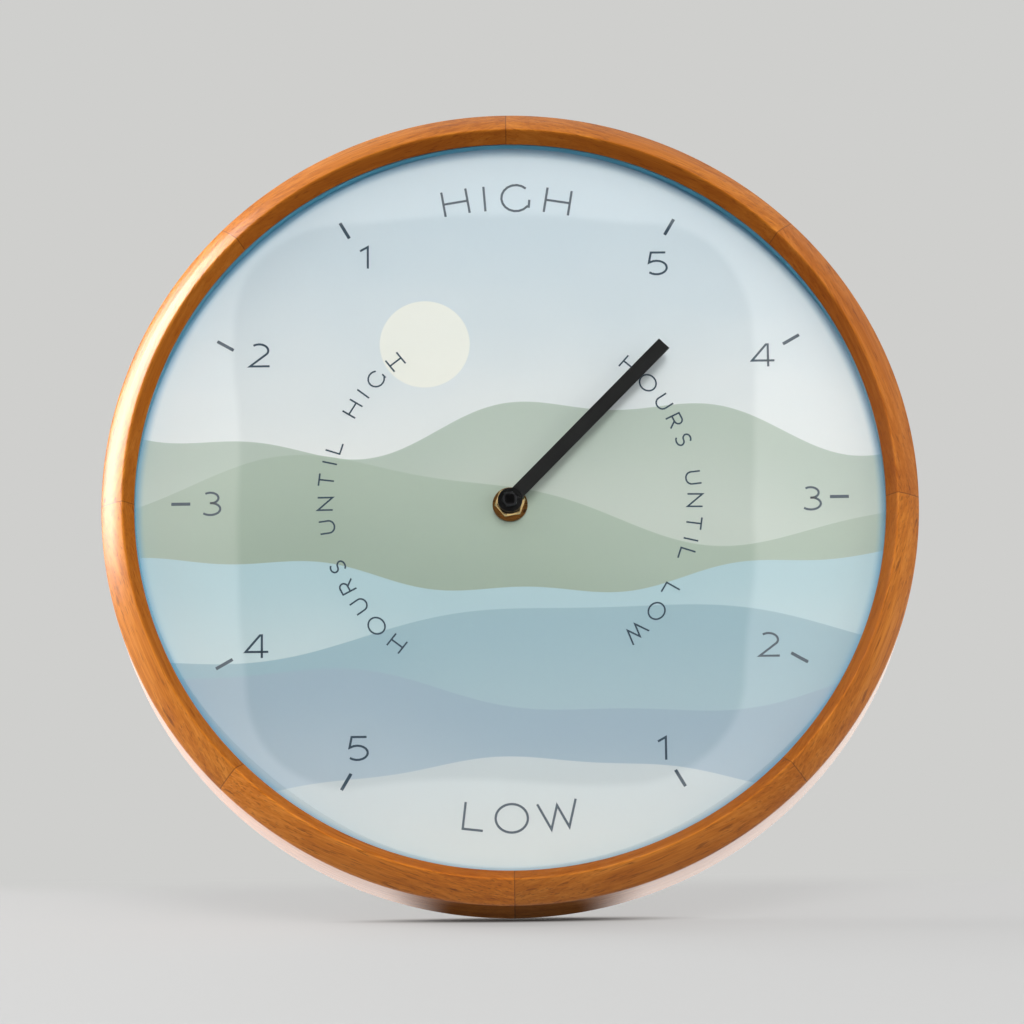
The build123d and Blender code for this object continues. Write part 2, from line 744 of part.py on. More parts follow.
chip_place = (circuit_post_across, (board_top - board_bottom) / 2)
with BuildPart() as clock_chip:
    rod(chip_place, chip_radius, circuit_back, circuit_back + chip_height)
    chamfer(edges().group_by(Axis.Y)[-1], chip_height / 2)
finish(clock_chip, "clock_chip")

crystal_up = chip_place[1] - chip_radius
with BuildPart() as quartz_crystal:
    with BuildSketch(Plane.YZ.offset(-board_right - crystal_length)):
        with Locations((circuit_back + crystal_radius - frame_depth / 2, crystal_up - 2 * crystal_radius)):
            Circle(crystal_radius)
    extrude(amount=crystal_length)
finish(quartz_crystal, "quartz_crystal")


# Battery and its two contacts
def cell_round(radius, left, length, mode=Mode.ADD):
    """Add or cut a round along the battery's axis."""
    with BuildSketch(Plane.YZ.offset(left)) as round_section:
        with Locations((cell_depth - frame_depth / 2, cell_height)):
            Circle(radius)
    extrude(round_section.sketch, amount=length, mode=mode)


cell_left = -(cell_length + cell_nub_length) / 2
with BuildPart() as battery:
    cell_round(cell_radius, cell_left, cell_length)
    chamfer(edges().filter_by(GeomType.CIRCLE), cell_edge)
    cell_round(cell_nub_radius, cell_left + cell_length, cell_nub_length)
finish(battery, "battery")

dimple_height = chamber_half + cell_left - contact_thickness - contact_touch_gap
strip_back = chamber_back - cover_lip_height - loose_gap
strip_front = strip_back - contact_strip_width
contact_half = contact_width / 2
for name, side in (("minus_contact", -1), ("plus_contact", 1)):
    outside = side * chamber_half
    inside = outside - side * contact_thickness
    with BuildPart() as contact:
        bar(min(inside, outside), max(inside, outside), cell_height - contact_half,
            cell_height + contact_half, cell_depth - contact_half, cell_depth + contact_half)
        bar(min(inside, outside), max(inside, outside), cell_height, divider_top + contact_rise,
            strip_front, strip_back)
        with BuildSketch(Plane.YZ.offset(inside)) as dimple:
            with Locations((cell_depth - frame_depth / 2, cell_height)):
                Circle(dimple_radius)
        extrude(dimple.sketch, amount=-side * dimple_height, taper=dimple_taper)
    finish(contact, name)
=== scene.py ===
"""Visual model of a tide clock: wooden frame, domed glass, printed dial, one hand and its movement."""

import math

import bmesh
import bpy
from mathutils import Matrix, Vector


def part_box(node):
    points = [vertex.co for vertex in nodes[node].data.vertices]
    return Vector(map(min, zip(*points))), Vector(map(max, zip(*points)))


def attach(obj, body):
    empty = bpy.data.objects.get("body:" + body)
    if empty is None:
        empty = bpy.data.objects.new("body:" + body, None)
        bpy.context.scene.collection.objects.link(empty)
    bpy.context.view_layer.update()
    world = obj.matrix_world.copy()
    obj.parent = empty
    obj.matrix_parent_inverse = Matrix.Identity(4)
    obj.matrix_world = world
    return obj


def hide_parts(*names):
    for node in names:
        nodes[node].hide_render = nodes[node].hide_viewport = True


bl_info = {
    "name": "Tide clock",
    "version": (1, 0, 0),
    "blender": (4, 5, 0),
    "location": "View3D > Sidebar > Tide clock",
    "description": "Dresses the packed tide clock and builds its studio",
    "category": "Object",
}

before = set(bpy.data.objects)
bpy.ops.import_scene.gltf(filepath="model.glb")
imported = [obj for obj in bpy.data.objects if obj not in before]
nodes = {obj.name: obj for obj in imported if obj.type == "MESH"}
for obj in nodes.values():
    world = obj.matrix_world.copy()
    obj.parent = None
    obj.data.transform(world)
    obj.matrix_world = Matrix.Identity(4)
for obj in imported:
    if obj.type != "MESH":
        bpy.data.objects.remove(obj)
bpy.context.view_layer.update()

# Places read from the frame
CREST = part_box("frame_segment_1")[0].y
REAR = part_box("frame_segment_1")[1].y
GLASS_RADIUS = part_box("glass_lens")[1].x
GLASS_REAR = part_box("glass_lens")[1].y
DIAL_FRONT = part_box("dial_print")[0].y
BOARD_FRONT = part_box("dial_board")[0].y


def colour(red, green, blue):
    """Linear colour of a screen colour given in steps of 255."""
    def linear(step):
        share = step / 255
        return share / 12.92 if share <= 0.04045 else ((share + 0.055) / 1.055) ** 2.4
    return (linear(red), linear(green), linear(blue), 1.0)


def dimmed(shade, share):
    """A colour times a share, as opaque as it was."""
    return tuple(part * share for part in shade[:3]) + (1,)


# Shader maths

class Signal:
    """A shader socket whose numbers are used in Python expressions."""

    def __init__(self, finish, socket):
        self.finish = finish
        self.socket = socket

    def maths(self, operation, *values):
        return self.finish.node("Math", {"operation": operation}, values)

    def __add__(self, other):
        return self.maths("ADD", self, other)

    def __radd__(self, other):
        return self.maths("ADD", other, self)

    def __sub__(self, other):
        return self.maths("SUBTRACT", self, other)

    def __rsub__(self, other):
        return self.maths("SUBTRACT", other, self)

    def __mul__(self, other):
        return self.maths("MULTIPLY", self, other)

    def __rmul__(self, other):
        return self.maths("MULTIPLY", other, self)

    def __truediv__(self, other):
        return self.maths("DIVIDE", self, other)

    def __pow__(self, other):
        return self.maths("POWER", self, other)

    def __abs__(self):
        return self.maths("ABSOLUTE", self)

    def sine(self):
        return self.maths("SINE", self)

    def clamped(self):
        return self.finish.node("Clamp", {}, (self,))

    def larger(self, other):
        return self.maths("MAXIMUM", self, other)

    def root(self):
        return self.maths("SQRT", self)


class Finish:
    """A material, or the world's surface, under construction."""

    def __init__(self, name, of_world=False):
        self.material = (bpy.data.worlds if of_world else bpy.data.materials).new(name)
        self.material.use_nodes = True
        self.tree = self.material.node_tree
        self.tree.nodes.clear()
        self.output = self.tree.nodes.new("ShaderNodeOutput" + ("World" if of_world else "Material"))
        self.place = self.node("TexCoord", {}, (), "Object")

    def node(self, kind, settings, values, output=0):
        """Adds a node: its settings first, then the values or links of its sockets."""
        made = self.tree.nodes.new("ShaderNode" + kind)
        for name, setting in settings.items():
            if name == "stops":
                while len(made.color_ramp.elements) < len(setting):
                    made.color_ramp.elements.new(1.0)
                for element, (position, shade) in zip(made.color_ramp.elements, setting):
                    element.position, element.color = position, shade
            else:
                setattr(made, name, setting)
        pairs = values.items() if isinstance(values, dict) else enumerate(values)
        for key, value in pairs:
            socket = made.inputs[key]
            if isinstance(value, Signal):
                self.tree.links.new(value.socket, socket)
            else:
                socket.default_value = value
        found = [s for s in made.outputs if s.enabled]
        chosen = found[output] if isinstance(output, int) else made.outputs[output]
        return Signal(self, chosen)

    def axes(self, place=None):
        """The three coordinates of a place as signals."""
        split = self.tree.nodes.new("ShaderNodeSeparateXYZ")
        self.tree.links.new((place or self.place).socket, split.inputs[0])
        return [Signal(self, socket) for socket in split.outputs]

    def noise(self, place, detail, roughness, distortion=0.0):
        """Soft noise at a place that is already stretched to its scale."""
        return self.node("TexNoise", {}, {"Vector": place, "Scale": 1.0, "Detail": detail,
                                          "Roughness": roughness, "Distortion": distortion}, "Fac")

    def mottle(self, scale, detail, roughness, distortion=0.0):
        """Noise over the piece, at one scale or at a scale for each direction."""
        scale = scale if isinstance(scale, tuple) else (scale, scale, scale)
        stretched = self.node("Mapping", {}, {"Vector": self.place, "Scale": scale})
        return self.noise(stretched, detail, roughness, distortion)

    def spread(self, signal, low, high, new_low=0.0, new_high=1.0):
        """The signal between two levels, stretched to a new range and held there."""
        return self.node("MapRange", {"clamp": True, "interpolation_type": "SMOOTHSTEP"},
                         (signal, low, high, new_low, new_high))

    def blended(self, share, first, second, how="MIX"):
        """Two colours mixed by a share."""
        return self.node("Mix", {"data_type": "RGBA", "blend_type": how, "clamp_factor": True},
                         {0: share, 6: first, 7: second})

    def ramp(self, signal, *stops):
        """Colours at stops along a signal."""
        return self.node("ValToRGB", {"stops": stops}, (signal,))

    def bump(self, height, distance, strength):
        """Relief of a height signal, at its depth in metres."""
        return self.node("Bump", {}, {"Height": height, "Distance": distance, "Strength": strength})

    def surface(self, **values):
        """Ends the material in one Principled surface; names are its sockets with underscores."""
        return self.ends_in(self.node("BsdfPrincipled", {}, {key.replace("_", " "): value
                                                             for key, value in values.items()}))

    def ends_in(self, shader):
        """Ends the material in any shader."""
        self.tree.links.new(shader.socket, self.output.inputs["Surface"])
        return self.material


def reach(across, up):
    """How far a place is from the middle, from its two coordinates."""
    return (across ** 2 + up ** 2).root()


# Materials

SEGMENTS = 8

WOOD_DEEP, WOOD_MIDDLE, WOOD_PALE = colour(154, 81, 17), colour(187, 108, 28), colour(211, 132, 48)
# Colours of the painted shade on the bevel, of the pores and of the glue lines
BEVEL_PAINTED_SHADE, PORE_SHADE, GLUE_SHADE = colour(104, 44, 4), colour(84, 36, 8), colour(66, 34, 16)
# Share of clear lacquer over the wood: it is thin in the bevel and has run down to the lower wall
BEVEL_LACQUER, SLOPE_LACQUER, HIGH_WALL_LACQUER, LOW_WALL_LACQUER = 0.03, 0.55, 0.08, 1.0
# Radii between which one surface of the frame passes into the next: bevel, slope and outer wall; the first also
# bounds the bevel's painted shade
BEVEL_SHADE_RADII, CREST_RADII, WALL_RADII = (0.1408, 0.1418), (0.1416, 0.1424), (0.1493, 0.1498)
# Half widths of the glue line in a mitre: of its full colour, and of its faint edge
GLUE_LINE = (0.00008, 0.00028)
# Heights between which the wall's lacquer gets its full thickness
LACQUER_RUN = (0.05, -0.03)


def wood(name, middle, lightness, redness):
    """Lacquered hardwood of one frame segment; the grain runs along its chord."""
    finish = Finish(name)
    along = finish.node("VectorRotate", {"rotation_type": "Y_AXIS"},
                        {"Vector": finish.place, "Angle": math.radians(middle - 90)})
    moved = finish.node("Mapping", {}, {"Vector": along, "Location": (middle * 0.013, 0, middle * 0.007)})

    def grain(along_grain, across_grain, detail, wander=0.0):
        stretch = (along_grain, across_grain, across_grain)
        place = finish.node("Mapping", {}, {"Vector": moved, "Scale": stretch})
        return finish.noise(place, detail, 0.6, wander)

    streak = grain(13, 620, 4.0, 0.3)
    fibre = grain(34, 2300, 2.0)
    figure = grain(13, 170, 3.0)
    cloud = grain(8, 22, 2.0)
    pore = finish.spread(grain(130, 1900, 1.0), 0.60, 0.68)
    fleck = finish.spread(grain(60, 560, 1.5), 0.66, 0.72)

    def toned(shade):
        red, green, blue, _ = shade
        return (red * lightness, green * lightness / redness, blue * lightness / redness, 1)

    tone = finish.ramp(streak * 0.36 + fibre * 0.20 + figure * 0.24 + cloud * 0.20,
                       (0.37, toned(WOOD_DEEP)), (0.50, toned(WOOD_MIDDLE)), (0.63, toned(WOOD_PALE)))
    tinted = finish.blended(pore * 0.40 + fleck * 0.45, tone, PORE_SHADE)
    across, _, up = finish.axes(along)
    radius = reach(across, up)
    # Painted shade: the bevel is darkened towards a deep brown all round the aperture
    tinted = finish.blended((1 - finish.spread(radius, *BEVEL_SHADE_RADII)) * 0.5, tinted, BEVEL_PAINTED_SHADE)
    from_mitre = abs(abs(across) - up * math.tan(math.pi / SEGMENTS))
    joint = 1 - finish.spread(from_mitre, *GLUE_LINE)
    glued = finish.blended(joint * 0.6, tinted, GLUE_SHADE)
    relief = streak * 0.5 + fibre * 0.3 - pore * 0.6 - joint * 2.0
    height = finish.axes()[2]
    wall = finish.spread(radius, *WALL_RADII)
    lower = finish.spread(height, *LACQUER_RUN,
                          HIGH_WALL_LACQUER - SLOPE_LACQUER, LOW_WALL_LACQUER - SLOPE_LACQUER)
    lacquer = finish.spread(radius, *CREST_RADII, BEVEL_LACQUER, SLOPE_LACQUER) + wall * lower
    return finish.surface(Base_Color=glued, Roughness=finish.spread(streak, 0.2, 0.8, 0.48, 0.38),
                          Coat_Weight=lacquer, Coat_Roughness=0.24, Normal=finish.bump(relief, 0.0001, 0.35),
                          Specular_IOR_Level=0.06)


def glass():
    """Clear glass that shows only its reflections; the front of each face stands for both sides."""
    finish = Finish("clear_glass")
    clear = finish.node("BsdfTransparent", {}, {"Color": (0.982, 0.987, 0.984, 1)})
    shine = finish.node("BsdfGlossy", {}, {"Color": (1, 1, 1, 1), "Roughness": 0.015})
    front = 1 - finish.node("NewGeometry", {}, (), "Backfacing")
    share = (finish.node("Fresnel", {}, {"IOR": 1.5}) * 2 * front).clamped()
    mixed = finish.node("MixShader", {}, (share, clear, shine))
    return finish.ends_in(mixed)


# Printed bands, far to near: height of the edge's middle, its swings (size, half waves in a metre, start),
# the colour well below the edge and the colour at the edge
RIDGES = (
    (0.030, ((0.010, 9.0, 0.6), (0.004, 23.0, 2.0)), (200, 208, 198), (184, 196, 184)),
    (0.002, ((0.016, 6.5, 2.9), (0.003, 19.0, 0.4)), (162, 177, 160), (174, 188, 172)),
    (-0.026, ((0.007, 8.0, 4.4), (0.002, 27.0, 1.0)), (203, 219, 222), (180, 207, 214)),
    (-0.048, ((0.011, 6.0, 0.9), (0.002, 17.0, 3.0)), (173, 196, 204), (160, 188, 198)),
    (-0.070, ((0.009, 7.5, 3.6), (0.002, 21.0, 5.0)), (182, 197, 208), (163, 183, 197)),
    (-0.103, ((0.008, 7.0, 1.4), (0.001, 29.0, 2.2)), (218, 220, 217), (208, 215, 217)),
)
# Depth below an edge at which its band has its full colour
RIDGE_DEPTH = 0.045
SKY_TOP, SKY_LOW = colour(202, 215, 223), colour(238, 238, 236)
SKY_HEIGHTS = (0.0, 0.135)
DISC_CENTRE, DISC_RADIUS, DISC_SHADE = (-0.031, 0.062), 0.0165, colour(250, 246, 232)
# Soft width of a printed edge
DISC_EDGE, RIDGE_EDGE = 0.0004, 0.0003
# Painted shade: the outermost ring of the dial is darkened to teal where the frame's shadow falls
RIM_SHADE_RADII, RIM_PAINTED_SHADE = (0.1342, 0.1386), colour(58, 148, 186)


def dial_picture():
    """Printed dial: a pale disc over soft rolling bands, in matt ink on coated paper."""
    finish = Finish("printed_dial")
    across, _, up = finish.axes()
    paper = finish.mottle(900, 3.0, 0.6)
    wash = finish.mottle((16, 16, 34), 3.0, 0.5)
    shown = finish.blended(finish.spread(up + wash * 0.03, *SKY_HEIGHTS), SKY_LOW, SKY_TOP)
    from_disc = reach(across - DISC_CENTRE[0], up - DISC_CENTRE[1])
    disc = 1 - finish.spread(from_disc, DISC_RADIUS, DISC_RADIUS + DISC_EDGE)
    shown = finish.blended(disc * 0.7, shown, DISC_SHADE)
    for middle, swings, low, high in RIDGES:
        edge = middle
        for size, waves, start in swings:
            edge = edge + (across * (waves * math.pi) + start).sine() * size
        below = edge - up
        tint = finish.blended(finish.spread(below, 0.0, RIDGE_DEPTH), colour(*high), colour(*low))
        shown = finish.blended(finish.spread(below, 0.0, RIDGE_EDGE), shown, tint)
    dial_colour = finish.blended(wash * 0.08, shown, colour(150, 178, 190))
    # Painted shade of the frame on the dial's outer ring
    rim = finish.spread(reach(across, up), *RIM_SHADE_RADII)
    dial_colour = finish.blended(rim * 0.85, dial_colour, RIM_PAINTED_SHADE)
    return finish.surface(Base_Color=dial_colour, Roughness=finish.spread(paper, 0.3, 0.7, 0.62, 0.5),
                          Normal=finish.bump(paper, 0.00002, 0.3), Specular_IOR_Level=0.35)


def moulded(name, shade, roughness, grain=900, relief=0.00003):
    """Moulded plastic with a fine eroded texture."""
    finish = Finish(name)
    fine = finish.mottle(grain, 3.0, 0.6)
    broad = finish.mottle(45, 2.0, 0.5)
    return finish.surface(Base_Color=finish.blended(broad * 0.6 + fine * 0.3, shade, dimmed(shade, 0.78)),
                          Roughness=finish.spread(broad, 0.2, 0.8, roughness - 0.07, roughness + 0.08),
                          Normal=finish.bump(fine, relief, 0.4))


# Share of its brightness that metal keeps where it is tarnished
METAL_TARNISH = 0.75


def metal(name, shade, roughness, stretch=(60, 900, 900)):
    """Bare or plated metal with fine working marks and faint tarnish."""
    finish = Finish(name)
    marks = finish.mottle(stretch, 3.0, 0.6)
    cloud = finish.mottle(120, 3.0, 0.55)
    return finish.surface(Base_Color=finish.blended(cloud, shade, dimmed(shade, METAL_TARNISH)), Metallic=1.0,
                          Roughness=finish.spread(marks * 0.6 + cloud * 0.4, 0.25, 0.75,
                                                  roughness * 0.75, roughness * 1.3),
                          Normal=finish.bump(marks, 0.00001, 0.4))


# Radii between which the hand's blade meets its polished hub
HUB_RADII = (0.0046, 0.0050)


def black_lacquer(name, shade, roughness, hub_roughness):
    """Thin black lacquer, a little worn to grey on the hand's blade and polished on its hub."""
    finish = Finish(name)
    across, _, up = finish.axes()
    polish = finish.spread(reach(across, up), *HUB_RADII, hub_roughness - roughness, 0.0)
    fine = finish.mottle(1500, 2.0, 0.6)
    cloud = finish.mottle(70, 3.0, 0.55)
    worn = finish.spread(cloud, 0.25, 0.75, roughness - 0.05, roughness + 0.05)
    return finish.surface(Base_Color=finish.blended(cloud, shade, colour(20, 20, 20)), Roughness=worn + polish,
                          Specular_IOR_Level=0.3, Normal=finish.bump(fine, 0.00001, 0.35))


def fibreboard():
    """Pressed fibres of the backing board."""
    finish = Finish("pressed_fibre")
    fibres = finish.mottle((500, 500, 1400), 4.0, 0.65, 0.8)
    flecks = finish.mottle((1900, 1900, 420), 2.0, 0.5)
    cloud = finish.mottle(18, 3.0, 0.5)
    tone = finish.ramp(fibres * 0.72 + cloud * 0.28, (0.3, colour(104, 76, 50)), (0.5, colour(134, 101, 70)),
                       (0.7, colour(158, 124, 90)))
    dotted = finish.blended(finish.spread(flecks, 0.62, 0.72) * 0.6, tone, colour(72, 50, 33))
    return finish.surface(Base_Color=dotted, Roughness=0.85, Normal=finish.bump(fibres, 0.0001, 0.5))


def ink(name, shade):
    """Matt printing ink with a very slight mottle."""
    finish = Finish(name)
    mottle = finish.mottle(1600, 2.0, 0.5)
    return finish.surface(Base_Color=finish.blended(mottle * 0.5, shade, dimmed(shade, 1.3)), Roughness=0.6,
                          Specular_IOR_Level=0.3)


# Shares of the battery's length between which its film starts, its bright band starts and its film ends
FILM_START, BAND_START, FILM_END = (0.012, 0.016), (0.70, 0.705), (0.952, 0.956)


def jacket():
    """Printed film round the battery: a dark body, a bright band and plated ends, with no marks."""
    finish = Finish("battery_film")
    low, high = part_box("battery")
    along = (finish.axes()[0] - low.x) / (high.x - low.x)
    band = finish.spread(along, *BAND_START)
    ends = (1 - finish.spread(along, *FILM_START)).larger(finish.spread(along, *FILM_END))
    film = finish.mottle(260, 3.0, 0.6)
    body = finish.blended(band, colour(34, 42, 58), colour(176, 128, 62))
    shade = finish.blended(ends, body, colour(196, 196, 194))
    return finish.surface(Base_Color=shade, Metallic=ends * 0.9 + band * 0.1,
                          Roughness=finish.spread(film, 0.3, 0.7, 0.26, 0.38),
                          Normal=finish.bump(film, 0.00002, 0.25))


# Distance from one turn of the coil to the next
WIRE_PITCH = 0.00018


def wound_wire():
    """Enamelled copper wire wound close, turn beside turn."""
    finish = Finish("wound_wire")
    turns = (finish.axes()[0] * (2 * math.pi / WIRE_PITCH)).sine()
    cloud = finish.mottle(300, 2.0, 0.5)
    return finish.surface(Base_Color=finish.blended(cloud, colour(168, 78, 38), colour(138, 56, 26)),
                          Metallic=0.85, Roughness=0.32, Normal=finish.bump(turns, 0.00004, 0.6))


# Meshes

def new_object(name, mesh):
    """Links an object of a mesh to the scene."""
    made = bpy.data.objects.new(name, mesh)
    bpy.context.scene.collection.objects.link(made)
    return made


def shade_by_angle(mesh, limit=35.0):
    """Smooth faces with sharp edges where the surface turns by more than the limit."""
    form = bmesh.new()
    form.from_mesh(mesh)
    bmesh.ops.remove_doubles(form, verts=form.verts, dist=1e-7)
    bmesh.ops.recalc_face_normals(form, faces=form.faces)
    for face in form.faces:
        face.smooth = True
    for edge in form.edges:
        edge.smooth = len(edge.link_faces) == 2 and edge.calc_face_angle() < math.radians(limit)
    form.to_mesh(mesh)
    form.free()
    return mesh


def mesh_of(name, form):
    """Ends a bmesh in a plain mesh."""
    mesh = bpy.data.meshes.new(name)
    form.to_mesh(mesh)
    form.free()
    return mesh


def rounded(profile, radii, steps=5):
    """A closed outline whose corners are rounded by the radii given."""
    points = []
    for index, corner in enumerate(profile):
        before = Vector(profile[index - 1]) - Vector(corner)
        after = Vector(profile[(index + 1) % len(profile)]) - Vector(corner)
        radius = radii[index]
        if radius <= 0:
            points.append(tuple(corner))
            continue
        half = before.angle(after) / 2
        cut = min(radius / math.tan(half), before.length * 0.48, after.length * 0.48)
        first = Vector(corner) + before.normalized() * cut
        last = Vector(corner) + after.normalized() * cut
        for step in range(steps + 1):
            share = step / steps
            a = first.lerp(Vector(corner), share)
            b = Vector(corner).lerp(last, share)
            points.append(tuple(a.lerp(b, share)))
    return points


def turned(name, profile, start=0.0, sweep=360.0, steps=180):
    """Solid of a closed outline (radius, depth) swept about the clock's axis."""
    whole = sweep >= 360
    form = bmesh.new()
    rows = []
    for step in range(steps if whole else steps + 1):
        angle = math.radians(start + sweep * step / steps)
        rows.append([form.verts.new((radius * math.cos(angle), depth, radius * math.sin(angle)))
                     for radius, depth in profile])
    pairs = list(zip(rows, rows[1:] + rows[:1])) if whole else list(zip(rows, rows[1:]))
    for first, second in pairs:
        for index in range(len(profile)):
            following = (index + 1) % len(profile)
            corners = [first[index], first[following], second[following], second[index]]
            distinct = []
            for corner in corners:
                if all((corner.co - other.co).length > 1e-9 for other in distinct):
                    distinct.append(corner)
            if len(distinct) > 2:
                form.faces.new(distinct)
    if not whole:
        form.faces.new(rows[0])
        form.faces.new(rows[-1])
    return new_object(name, shade_by_angle(mesh_of(name, form)))


def use(made, material, body, slot=None, *replaced):
    """Gives a piece its material and its body, and hides the nodes that it stands for; the slot is not used."""
    made.data.materials.clear()
    made.data.materials.append(material)
    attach(made, body)
    if replaced:
        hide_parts(*replaced)
    return made


def dress(material, *names):
    """Gives CAD nodes that keep their shape a material."""
    for name in names:
        node = nodes[name]
        node.data.materials.clear()
        node.data.materials.append(material)


def from_nodes(name, tree, inputs, material, places=()):
    """Evaluates a geometry tree into a plain mesh object; places are the points that it starts from."""
    start = bpy.data.meshes.new(name)
    start.from_pydata(places, [], [])
    carrier = new_object(name, start)
    modifier = carrier.modifiers.new("build", "NODES")
    modifier.node_group = tree
    for item in tree.interface.items_tree:
        if item.item_type == "SOCKET" and item.in_out == "INPUT" and item.name in inputs:
            modifier[item.identifier] = inputs[item.name]
    depsgraph = bpy.context.evaluated_depsgraph_get()
    mesh = bpy.data.meshes.new_from_object(carrier.evaluated_get(depsgraph))
    carrier.modifiers.remove(modifier)
    carrier.data = mesh
    mesh.name = name
    mesh.materials.clear()
    mesh.materials.append(material)
    return carrier


class Tree:
    """A geometry tree under construction, with named inputs."""

    def __init__(self, name, inputs):
        self.tree = bpy.data.node_groups.new(name, "GeometryNodeTree")
        self.tree.interface.new_socket("Geometry", in_out="INPUT", socket_type="NodeSocketGeometry")
        self.tree.interface.new_socket("Geometry", in_out="OUTPUT", socket_type="NodeSocketGeometry")
        for label, (kind, default) in inputs.items():
            socket = self.tree.interface.new_socket(label, in_out="INPUT", socket_type="NodeSocket" + kind)
            if default is not None:
                socket.default_value = default
        self.inputs = self.tree.nodes.new("NodeGroupInput")
        self.result = self.tree.nodes.new("NodeGroupOutput")

    def node(self, kind, settings, values, output=0):
        made = self.tree.nodes.new(kind)
        for name, setting in settings.items():
            setattr(made, name, setting)
        for key, value in (values.items() if isinstance(values, dict) else enumerate(values)):
            self.feed(value, made.inputs[key])
        enabled = [s for s in made.outputs if s.enabled]
        return enabled[output] if isinstance(output, int) else made.outputs[output]

    def feed(self, value, socket):
        if isinstance(value, bpy.types.NodeSocket):
            self.tree.links.new(value, socket)
        else:
            socket.default_value = value

    def given(self, label):
        return self.inputs.outputs[label]

    def maths(self, operation, *values):
        return self.node("ShaderNodeMath", {"operation": operation}, values)

    def vector(self, x, y, z):
        return self.node("ShaderNodeCombineXYZ", {}, (x, y, z))

    def ends_in(self, geometry, material):
        real = self.node("GeometryNodeRealizeInstances", {}, (geometry,))
        painted = self.node("GeometryNodeSetMaterial", {}, {"Geometry": real, "Material": material})
        self.tree.links.new(painted, self.result.inputs[0])
        return self.tree


def around_tree(name, material):
    """Bars on a circle about an axis along Y, without those too near its upright middle line."""
    tree = Tree(name, {
        "Size": ("Vector", (0.001, 0.001, 0.001)), "Radius": ("Float", 0.1), "Count": ("Int", 12),
        "First angle": ("Float", 0.0), "Place": ("Vector", (0, 0, 0)), "Keep clear": ("Float", 0.0),
    })
    bar = tree.node("GeometryNodeMeshCube", {}, {"Size": tree.given("Size")}, "Mesh")
    points = tree.node("GeometryNodePoints", {}, {"Count": tree.given("Count")})
    index = tree.node("GeometryNodeInputIndex", {}, ())
    step = tree.maths("DIVIDE", 2 * math.pi, tree.given("Count"))
    angle = tree.maths("ADD", tree.maths("MULTIPLY", index, step), tree.given("First angle"))
    across = tree.maths("MULTIPLY", tree.maths("COSINE", angle), tree.given("Radius"))
    up = tree.maths("MULTIPLY", tree.maths("SINE", angle), tree.given("Radius"))
    placed = tree.node("GeometryNodeSetPosition", {}, {
        "Geometry": points, "Position": tree.vector(across, 0.0, up)})
    near = tree.maths("LESS_THAN", tree.maths("ABSOLUTE", across), tree.given("Keep clear"))
    kept = tree.node("GeometryNodeDeleteGeometry", {"domain": "POINT"}, {"Geometry": placed, "Selection": near})
    position = tree.node("GeometryNodeInputPosition", {}, ())
    split = tree.tree.nodes.new("ShaderNodeSeparateXYZ")
    tree.tree.links.new(position, split.inputs[0])
    heading = tree.maths("ARCTAN2", split.outputs[2], split.outputs[0])
    turn = tree.vector(0.0, tree.maths("MULTIPLY", heading, -1.0), 0.0)
    turned_bars = tree.node("GeometryNodeInstanceOnPoints", {}, {
        "Points": kept, "Instance": bar, "Rotation": turn})
    moved = tree.node("GeometryNodeTransform", {}, {
        "Geometry": turned_bars, "Translation": tree.given("Place")})
    return tree.ends_in(moved, material)


# Share of a pan head's radius that is left at its top
HEAD_TAPER = 0.76


def screw_tree(name, material):
    """Pan screws with a cross recess, one at each point given, with the head behind it."""
    tree = Tree(name, {
        "Head radius": ("Float", 0.002), "Head height": ("Float", 0.001), "Shaft radius": ("Float", 0.001),
        "Shaft length": ("Float", 0.005), "Recess length": ("Float", 0.002), "Recess width": ("Float", 0.0004),
        "Recess depth": ("Float", 0.0004),
    })
    head = tree.node("GeometryNodeMeshCone", {}, {
        "Vertices": 32, "Side Segments": 1, "Fill Segments": 1, "Radius Bottom": tree.given("Head radius"),
        "Radius Top": tree.maths("MULTIPLY", tree.given("Head radius"), HEAD_TAPER),
        "Depth": tree.given("Head height")}, "Mesh")
    twice = tree.maths("MULTIPLY", tree.given("Recess depth"), 2.0)
    arms = [tree.node("GeometryNodeMeshCube", {}, {"Size": tree.vector(*size)}, "Mesh") for size in (
        (tree.given("Recess length"), tree.given("Recess width"), twice),
        (tree.given("Recess width"), tree.given("Recess length"), twice))]
    lift = tree.vector(0.0, 0.0, tree.given("Head height"))
    cuts = [tree.node("GeometryNodeTransform", {}, {"Geometry": arm, "Translation": lift}) for arm in arms]
    cut = head
    for arm in cuts:
        boolean = tree.tree.nodes.new("GeometryNodeMeshBoolean")
        boolean.operation, boolean.solver = "DIFFERENCE", "EXACT"
        tree.tree.links.new(cut, boolean.inputs["Mesh 1"])
        tree.tree.links.new(arm, boolean.inputs["Mesh 2"])
        cut = boolean.outputs["Mesh"]
    shaft = tree.node("GeometryNodeMeshCylinder", {}, {
        "Vertices": 20, "Radius": tree.given("Shaft radius"), "Depth": tree.given("Shaft length")}, "Mesh")
    sunk = tree.maths("MULTIPLY", tree.given("Shaft length"), -0.5)
    set_in = tree.node("GeometryNodeTransform", {}, {
        "Geometry": shaft, "Translation": tree.vector(0.0, 0.0, sunk)})
    joined = tree.tree.nodes.new("GeometryNodeJoinGeometry")
    for part in (cut, set_in):
        tree.tree.links.new(part, joined.inputs[0])
    turned_back = tree.node("GeometryNodeTransform", {}, {
        "Geometry": joined.outputs[0], "Rotation": (math.radians(-90), 0, 0)})
    placed = tree.node("GeometryNodeInstanceOnPoints", {}, {
        "Points": tree.inputs.outputs["Geometry"], "Instance": turned_back})
    return tree.ends_in(placed, material)


